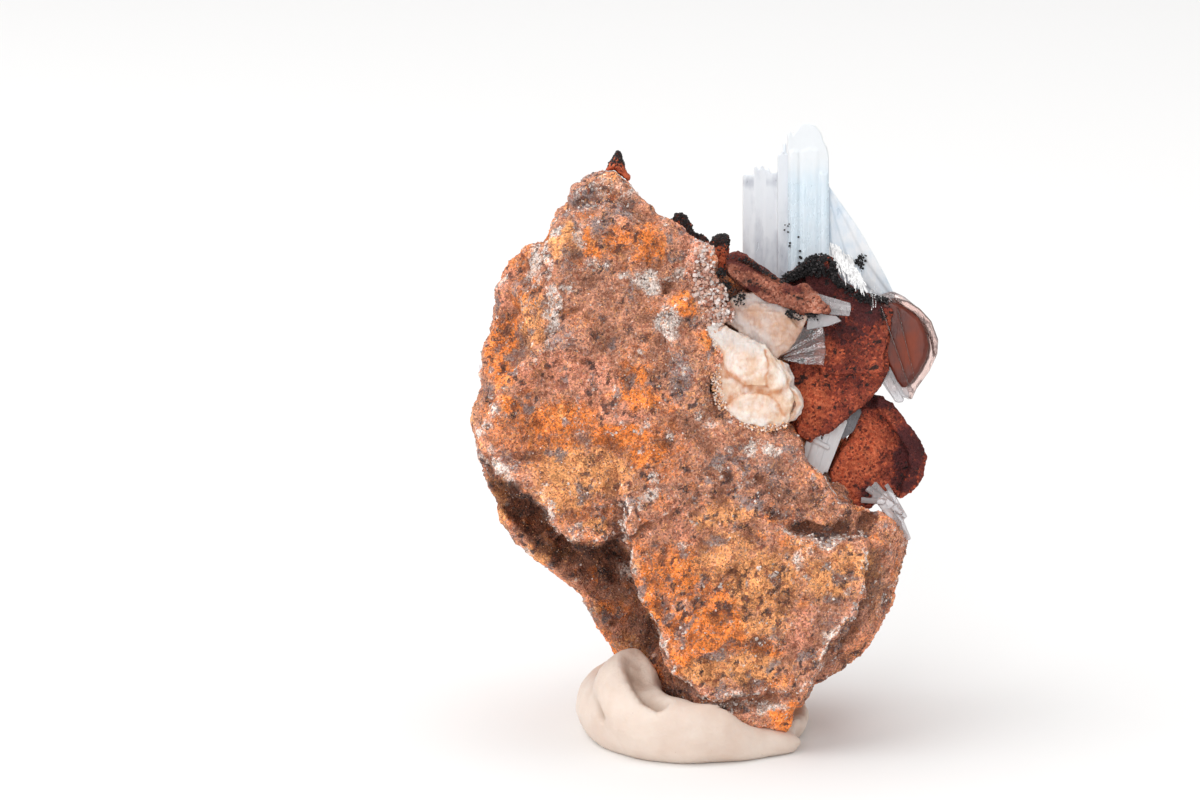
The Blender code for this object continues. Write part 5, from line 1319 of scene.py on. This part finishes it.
# each crystal piece: its slabs (outline, near, far, bevel, turn), its rods (start, end, width, near, far), look,
# slot, the nodes it stands for and how frosted it is
amberOutline = [
    (17.2, 45.9), (19.2, 46.9), (20.4, 46.5), (21.6, 45.8), (22.8, 44.5), (23.5, 42.6), (23.4, 41.2), (22.6, 39.5),
    (21.3, 37.7), (20.8, 36.6), (20.0, 37.2), (19.0, 39.2), (17.9, 40.6), (17.2, 43.1),
]
amberCore = [
    (16.9, 45.6), (18.0, 46.3), (19.4, 46.3), (20.6, 45.7), (21.7, 44.9), (22.4, 43.6), (22.8, 42.2), (22.6, 40.9),
    (22.0, 39.6), (21.2, 38.4), (20.5, 37.7), (19.8, 38.5), (19.2, 39.6), (18.2, 41.0), (17.4, 42.4), (17.0, 44.0),
]
crystalPieces = {
    "clearTip": {
        "look": "glassyBarite", "slot": "clear_barite", "nodes": ["clear_barite_tip"], "frost": 0.1, "crisp": True,
        "slabs": [([(10.9, 47.4), (14.7, 46.3), (14.75, 45.95), (10.9, 46.7)], 3.1, 4.3, 0.04, (0, 0, 4)),
                  ([(10.9, 46.8), (14.85, 45.98), (14.8, 45.45), (10.9, 46.0)], 2.8, 4.4, 0.04, (0, 0, -3)),
                  ([(10.9, 46.1), (14.7, 45.5), (14.6, 45.0), (10.9, 45.3)], 3.0, 4.3, 0.04, (0, 0, 5)),
                  ([(10.6, 45.4), (13.4, 45.0), (13.9, 44.5), (12.6, 44.0), (10.4, 43.6)], 3.1, 4.5, 0.04, (0, 0, -6))],
    },
    "clearFan": {
        "look": "clearBarite", "slot": "clear_barite", "nodes": ["clear_barite_fan"], "frost": 0.0, "crisp": True,
        "slabs": [([(7.7, 40.9), (9.7, 43.7), (12.0, 44.9), (12.1, 44.0)], 3.6, 4.3, 0.03, (0, 0, 6)),
                  ([(7.7, 40.9), (12.0, 44.1), (12.15, 43.2)], 3.3, 4.1, 0.03, (0, 0, -6)),
                  ([(7.7, 40.8), (12.1, 43.3), (12.2, 42.5)], 3.5, 4.2, 0.03, (0, 0, 5)),
                  ([(7.8, 40.8), (12.1, 42.6), (12.3, 41.8)], 3.2, 4.1, 0.03, (0, 0, -5)),
                  ([(7.8, 40.7), (12.2, 41.9), (12.3, 41.1)], 3.5, 4.3, 0.03, (0, 0, 4)),
                  ([(7.9, 40.7), (12.2, 41.2), (12.1, 40.1), (9.8, 40.2)], 3.2, 4.2, 0.03, (0, 0, -4))],
    },
    "lowPrism": {
        "look": "glassyBarite", "slot": "clear_barite", "nodes": ["clear_barite_prism"], "frost": 0.15, "crisp": True,
        "rods": [((17.1, 41.0), (19.8, 36.4), 1.0, 6.2, 8.0), ((17.9, 41.4), (20.4, 36.9), 0.9, 6.0, 7.8),
                 ((18.6, 41.2), (20.8, 37.4), 0.7, 6.4, 8.2), ((17.0, 40.2), (19.3, 36.9), 0.6, 6.6, 8.2)],
    },
    "cornerBlades": {
        "look": "glassyBarite", "slot": "clear_barite", "nodes": ["corner_barite_blades"], "frost": 0.3,
        "rods": [((16.4, 27.8), (19.0, 26.0), 0.7, 8.4, 9.6), ((16.9, 28.5), (19.8, 25.2), 0.6, 8.7, 9.9),
                 ((17.2, 27.2), (19.6, 24.0), 0.8, 8.5, 9.9), ((18.3, 28.2), (20.3, 24.8), 0.5, 9.0, 10.4),
                 ((18.2, 25.6), (20.0, 22.8), 0.7, 9.0, 10.6), ((19.2, 26.0), (20.6, 22.6), 0.6, 9.4, 11.0),
                 ((15.8, 26.6), (18.2, 26.4), 0.6, 8.2, 9.4)],
    },
    "frostyWedge": {
        "look": "frostyBarite", "slot": "grey_barite", "nodes": ["grey_barite_blade"], "frost": 0.3,
        "rods": [((10.4, 29.4), (11.8, 33.9), 0.7, 6.6, 8.4), ((11.0, 29.0), (12.8, 34.4), 0.6, 6.8, 8.6),
                 ((11.6, 29.0), (13.6, 34.6), 0.7, 7.1, 8.8), ((12.2, 29.4), (14.3, 34.6), 0.5, 7.2, 8.8),
                 ((10.0, 30.8), (10.9, 33.4), 0.6, 6.7, 8.2), ((9.6, 33.4), (12.6, 31.8), 0.5, 6.4, 7.4)],
    },
    "greyFacet": {
        "look": "greyBarite", "slot": "grey_barite", "nodes": [], "frost": 0.0,
        "slabs": [([(13.6, 36.2), (15.2, 36.7), (15.9, 35.4), (15.0, 33.4), (13.8, 32.6), (13.2, 34.4)], 7.4, 8.6, 0.15,
                   (0, 0, 10))],
    },
    "amberCore": {
        "look": "amberBarite", "slot": "amber_barite", "nodes": [], "frost": 0.1, "glow": (20.9, 41.6),
        "slabs": [(amberCore, 5.5, 8.2, 0.25, (0, 3, -12)),
                  ([(x - 0.6, z + 0.3) for x, z in amberCore], 8.4, 10.2, 0.2, (0, 8, -8))],
    },
    "amberShell": {
        "look": "pinkBarite", "slot": "amber_barite", "nodes": ["amber_barite_fan"], "frost": 0.0,
        "slabs": [(amberOutline, 6.2, 9.0, 0.08, (0, 0, 3)),
                  ([(x - 0.9, z + 0.5) for x, z in amberOutline], 9.2, 10.7, 0.2, (0, 8, -10)),
                  ([(18.9, 46.9), (20.5, 46.5), (21.7, 45.7), (22.8, 44.4), (23.4, 42.6), (23.2, 41.0), (22.9, 42.6),
                    (22.2, 44.2), (21.2, 45.3), (20.2, 45.9)], 5.3, 7.6, 0.05, (0, 0, 0))],
        "rods": [((17.8, 46.0), (20.6, 38.0), 0.14, 5.0, 5.9), ((19.4, 46.0), (21.2, 38.6), 0.12, 5.0, 5.9)],
    },
}


def makeCrystalPiece(name, form):
    pieces = [slab(*values) for values in form.get("slabs", [])]
    pieces += [rod(*values) for values in form.get("rods", [])]
    piece = fuse(name, pieces)
    if not form.get("crisp"):
        evenGrid(piece, 0.11)
    seed = len(name) + 90
    glowAt = form.get("glow", (0, 0))
    # round the glow point the frost share rises: a painted glow of light in the amber's core
    frostBy(piece, lambda p: form["frost"] + 0.5 * (fractal(p, 0.9, seed) - 0.5)
            + 0.7 * np.exp(-((p[:, 0] - glowAt[0]) / 1.1) ** 2 - ((p[:, 2] - glowAt[1]) / 2.2) ** 2))
    return smoothShade(piece, 20)


for name, form in crystalPieces.items():
    finishPiece(makeCrystalPiece(name, form), crystals[form["look"]], form["nodes"])
for node, name, look, slotName in (
    ("barite_rosette_top", "bariteRosetteTop", "blueBarite", "blue_barite"),
    ("barite_rosette_right", "bariteRosetteRight", "blueBarite", "blue_barite"),
    ("barite_rosette_left", "bariteRosetteLeft", "frostyBarite", "clear_barite"),
    ("barite_rosette_low", "bariteRosetteLow", "frostyBarite", "clear_barite"),
):
    piece = evenGrid(copyNode(node, name), 0.14)
    frostBy(piece, lambda p: 0.1 + 0.6 * (fractal(p, 1.2, 95) - 0.4))
    finishPiece(smoothShade(piece, 40), crystals[look], [node])
print("crystals made")


# Calcite: rounded blades grown together

calciteForm = {"voxel": 0.12, "smooth": 3, "bevel": 0.15, "lumps": 0.5, "fibre": 0.16}
# each lobe is an outline and its depths
creamLobes = [
    ([(0.2, 44.2), (2.2, 44.0), (4.4, 43.0), (6.3, 42.0), (8.2, 39.6), (8.6, 38.2), (9.2, 36.6), (8.6, 34.4), (6.1, 33.7),
      (3.0, 34.6), (1.6, 36.4), (1.2, 38.6), (1.4, 41.2), (0.4, 42.8)], 1.45, 4.8),
    ([(0.4, 43.9), (2.2, 43.8), (3.9, 42.8), (5.2, 42.6), (6.0, 41.8), (5.2, 40.8), (3.4, 40.4), (2.0, 41.4),
      (1.0, 42.8)], 1.3, 4.2),
    ([(2.2, 41.6), (3.4, 42.4), (5.2, 42.3), (6.2, 41.4), (6.8, 39.6), (6.4, 38.0), (4.2, 38.0), (2.6, 39.2),
      (2.0, 40.3)], 1.05, 4.2),
    ([(5.9, 41.2), (7.0, 40.5), (8.1, 39.0), (8.2, 37.8), (7.0, 37.4), (6.2, 38.2), (6.3, 39.6)], 1.15, 4.4),
    ([(2.3, 35.9), (3.0, 36.7), (4.4, 37.3), (6.6, 37.1), (7.4, 35.7), (7.0, 34.5), (6.1, 33.9), (4.2, 34.2),
      (2.8, 35.0)], 1.1, 4.2),
    ([(6.5, 37.1), (7.6, 37.5), (8.7, 37.0), (9.1, 36.1), (8.4, 35.3), (7.3, 35.8)], 1.2, 4.2),
    ([(6.8, 35.8), (8.3, 35.5), (8.4, 34.8), (7.6, 34.3), (6.7, 34.4)], 1.3, 4.2),
]
peachLobes = [
    ([(2.4, 46.4), (3.8, 47.4), (6.6, 47.2), (9.6, 46.2), (10.6, 45.0), (9.8, 43.2), (8.6, 41.6), (7.2, 40.6), (5.8, 41.6),
      (3.8, 43.2), (2.2, 44.4)], 2.5, 5.8),
    ([(3.4, 45.6), (4.6, 46.3), (6.7, 46.4), (8.3, 45.7), (9.8, 43.7), (8.7, 42.1), (7.4, 40.9), (6.1, 42.0),
      (4.3, 43.3), (2.9, 44.7)], 2.3, 5.4),
    ([(4.4, 45.6), (8.3, 45.4), (9.5, 43.9), (8.2, 42.3), (7.0, 41.6), (5.0, 43.4)], 2.15, 4.6),
]


def makeCalcitePiece(name, lobes, seams, greys, seed):
    piece = joinObjects(name, [slab(*lobe, calciteForm["bevel"]) for lobe in lobes])
    voxelSkin(piece, calciteForm["voxel"], calciteForm["smooth"])
    displace(piece, "CLOUDS", 1.2, calciteForm["lumps"], 0.5)
    displace(piece, "VORONOI", 0.6, -calciteForm["fibre"], 0.4)
    points = meshPoints(piece.data)
    here = wobbled(points, 1.0, 0.8, seed)
    seam = sum(np.exp(-(nearestOnLine(here, line)[0] / width) ** 2) for line, width in seams)
    seam = seam + np.clip(hollowness(piece.data, 10) / 0.12, 0, 1) * 0.45 + np.clip(points[:, 1] - 2.4, 0, 0.5)
    grey = sum(np.exp(-(nearestOnLine(here, line)[0] / width) ** 2) for line, width in greys)
    storeColour(piece.data, "calciteStain", np.stack([seam, grey * 0.7, seam * 0], axis=1))
    return smoothShade(piece, 50)


cream = makeCalcitePiece(
    "creamCalcite", creamLobes,
    [([(1.8, 39.4), (3.4, 38.6), (5.0, 37.6), (6.5, 37.3), (7.8, 37.6)], 0.35), ([(6.6, 37.2), (8.3, 35.2)], 0.16),
     ([(6.4, 41.4), (6.6, 39.6), (6.2, 38.0)], 0.14), ([(2.2, 35.4), (2.6, 36.6)], 0.6),
     ([(1.6, 41.0), (1.9, 39.6)], 0.6), ([(7.9, 40.4), (8.7, 39.0), (8.5, 37.8)], 0.16)],
    [([(0.4, 43.6), (2.4, 43.0), (4.8, 42.2)], 1.0)], 151)
peach = makeCalcitePiece(
    "peachCalcite", peachLobes, [([(3.6, 45.6), (5.2, 44.6)], 0.3), ([(8.9, 42.6), (9.6, 43.6)], 0.3)],
    [([(3.4, 46.8), (6.4, 46.7), (9.4, 45.6)], 0.8), ([(3.0, 45.0), (4.6, 43.4), (6.0, 42.2)], 0.7)], 161)
finishPiece(cream, creamCalcite, ["cream_calcite"])
finishPiece(peach, peachCalcite, ["peach_calcite"])

# thin petals of clear calcite fold round the cream lobes' right side: outline, near, far
petalForm = [
    ([(7.2, 40.9), (8.3, 40.3), (9.0, 38.9), (8.7, 38.0), (8.0, 38.0), (8.1, 39.2), (7.4, 40.1)], 1.7, 2.4),
    ([(7.4, 40.7), (8.5, 40.1), (9.2, 38.7), (8.8, 37.7), (7.6, 37.7)], 2.7, 4.4),
    ([(8.0, 38.0), (8.9, 38.0), (9.7, 37.1), (9.95, 36.1), (9.3, 34.9), (8.3, 34.2), (7.9, 34.6), (8.9, 35.4),
      (9.3, 36.2), (8.9, 37.0)], 1.9, 2.6),
    ([(7.6, 38.1), (9.0, 38.2), (9.9, 37.2), (10.15, 36.0), (9.4, 34.7), (8.1, 34.1), (7.0, 34.4)], 2.9, 4.6),
]
# frosted glassy lumps between the rock and the peach calcite: (x, z), spread, how many
lumpForm = [((0.1, 49.4), 0.6, 150), ((0.3, 47.4), 0.7, 200), ((1.0, 45.7), 0.7, 200), ((1.7, 47.4), 0.4, 90),
            ((2.2, 45.4), 0.5, 130), ((0.0, 51.0), 0.5, 80), ((1.2, 44.3), 0.6, 130)]
petals = makeCalcitePiece(
    "calcitePetals", petalForm, [([(8.0, 40.4), (8.75, 39.0), (8.5, 38.0)], 0.14),
                                 ([(8.6, 37.8), (9.35, 37.0), (9.55, 36.1), (9.0, 35.0), (8.2, 34.5)], 0.16)],
    [([(8.6, 40.0), (9.2, 38.6), (10.0, 37.2), (10.1, 36.0), (9.4, 34.8)], 0.5)], 171)
finishPiece(petals, creamCalcite)
lumpRng = np.random.default_rng(98)
spots = np.concatenate([np.clip(lumpRng.normal(size=(count, 3)), -1.6, 1.6) * (spread, 0.35, spread * 1.1) + (x, 2.0, z)
                        for (x, z), spread, count in lumpForm])
lumpTones = np.array([(0.90, 0.74, 0.68), (0.72, 0.42, 0.33), (0.94, 0.86, 0.82), (0.52, 0.22, 0.15), (0.80, 0.50, 0.38)])
lumps = scatter("glassyLumps", "grain", spots, lumpRng.uniform(0.08, 0.30, len(spots)), 99,
                lumpRng.choice(lumpTones, len(spots)))
finishPiece(lumps, quartzGrains)

# sand and small crystals cover the cream calcite's margin on the rock
x, z, marginRng = alongLine([((0.2, 43.4), 0.4), ((1.5, 41.4), 0.5), ((1.2, 39.0), 0.5), ((1.7, 36.4), 0.6), ((3.0, 34.6), 0.5),
                             ((6.0, 33.6), 0.4), ((8.4, 34.2), 0.3)], 1500, 191)
margin = np.stack([x, marginRng.uniform(1.3, 1.9, len(x)), z], axis=1)
marginTones = np.array([(0.95, 0.50, 0.24), (0.90, 0.74, 0.64), (0.70, 0.36, 0.22), (0.96, 0.86, 0.78), (0.45, 0.22, 0.15)])
marginSand = scatter("marginSand", "grain", margin, marginRng.uniform(0.05, 0.16, len(x)), 192,
                     marginRng.choice(marginTones, len(x)))
finishPiece(marginSand, looseGrains)
print("calcite made")


# Putty

puttyForm = {"voxel": 0.4, "smooth": 26, "swell": 0.35, "press": 0.3}
# creases of the roll, in the table's millimetres seen from the front: a line (x, z), its half width and depth
puttyCreases = [([(-10.4, 9.4), (-11.1, 7.4), (-11.0, 5.4), (-10.3, 3.8)], 0.3, 0.45)]
# the inside of its curl, and the round shoulder: place, half width, half height, how far out
puttyCurl = [(-8.3, 10.2), (-7.2, 10.9), (-5.8, 9.4), (-4.8, 7.6), (-3.2, 6.0), (-4.6, 5.2), (-6.4, 5.9), (-7.7, 7.4),
             (-8.5, 9.0)]
puttyShoulder = ((-12.4, 8.2), 2.0, 3.0, 0.6)


def makePuttyRoll():
    putty = voxelSkin(copyNode("putty", "puttyRoll"), puttyForm["voxel"], puttyForm["smooth"])
    points = meshPoints(putty.data) + meshNormals(putty.data) * puttyForm["swell"]
    movePoints(putty.data, points)
    displace(putty, "CLOUDS", 3.2, puttyForm["press"], 0.5)
    smoothShade(putty, 80)
    finishPiece(putty, puttyLook, ["putty"])
    points, normals = meshPoints(putty.data), meshNormals(putty.data)
    here = points[:, [0, 2]] * 1000
    # the creases and the inside of the curl are pressed in, and the same mask paints shade into their colour
    crease = np.zeros(len(points))
    front = np.clip(-normals[:, 1] * 2, 0, 1)
    for line, width, depth in puttyCreases:
        mark = np.exp(-(nearestOnLine(here, line)[0] / width) ** 2) * front
        points = points - normals * (mark * depth * 0.001)[:, None]
        crease = np.maximum(crease, mark)
    away, _ = nearestOnLine(here, puttyCurl + puttyCurl[:1])
    mark = np.where(inside(here, puttyCurl), np.clip(away / 0.7, 0, 1), 0) * front
    points = points - normals * (mark * 1.3 * 0.001)[:, None]
    crease = np.maximum(crease, mark)
    points[:, 0] += 0.0014 * np.clip((here[:, 0] - 5.0) / 3.5, 0, 1) ** 2  # the roll's end shows beside the rock's foot
    (x, z), wide, high, out = puttyShoulder
    bulge = np.exp(-((here[:, 0] - x) / wide) ** 2 - ((here[:, 1] - z) / high) ** 2)
    points = points + normals * (bulge * out * 0.001)[:, None]
    points[:, 2] = np.maximum(points[:, 2], 0.0)  # pressed flat on the table
    movePoints(putty.data, points)
    storeValue(putty.data, "crease", crease)


makePuttyRoll()
print("putty made")


# The floor, the light and the camera

deselectAll()
bpy.ops.mesh.primitive_plane_add(size=3.0, location=(0, 0.6, 0))
floor = bpy.context.object
floor.name = "paleFloor"
floorLook, floorTree, floorShader = newMaterial("paleFloor")
floorShader.inputs["Base Color"].default_value = (0.86, 0.855, 0.85, 1)
floorShader.inputs["Roughness"].default_value = 0.9
floor.data.materials.append(floorLook)

world = bpy.data.worlds.new("studio")
world.use_nodes = True
world.node_tree.nodes["Background"].inputs["Color"].default_value = (1, 1, 1, 1)
world.node_tree.nodes["Background"].inputs["Strength"].default_value = 0.72
bpy.context.scene.world = world

# soft boxes: name, place, power in watts, size. All aim at the specimen's middle
softBoxes = [
    ("topBox", (-0.1, 0.2, 1.1), 5.0, 1.2),
    ("leftBox", (-0.55, -0.1, 0.55), 2.3, 0.8),
    ("frontBox", (-0.25, -0.9, 0.45), 2.5, 0.4),
]
for name, place, power, size in softBoxes:
    light = bpy.data.lights.new(name, "AREA")
    light.energy = power
    light.size = size
    lamp = addObject(name, light)
    lamp.location = place
    lamp.rotation_euler = (Vector(place) - Vector((0, 0, 0.03))).to_track_quat("Z", "Y").to_euler()

cameraData = bpy.data.cameras.new("camera")
cameraData.sensor_width = 36
cameraData.lens = 150
cameraData.clip_start = 0.01
camera = addObject("camera", cameraData)
aim = toWorld @ Vector((specimen["viewCentre"][0], specimen["faceDepth"], specimen["viewCentre"][1]))
outward = (toWorld.to_3x3() @ Vector((0, -1, 0))).normalized()
camera.location = aim + outward * specimen["viewDistance"] * 0.001
camera.rotation_euler = (camera.location - aim).to_track_quat("Z", "Y").to_euler()
bpy.context.scene.camera = camera
bpy.context.scene.view_settings.view_transform = "Standard"

print("scene ready")
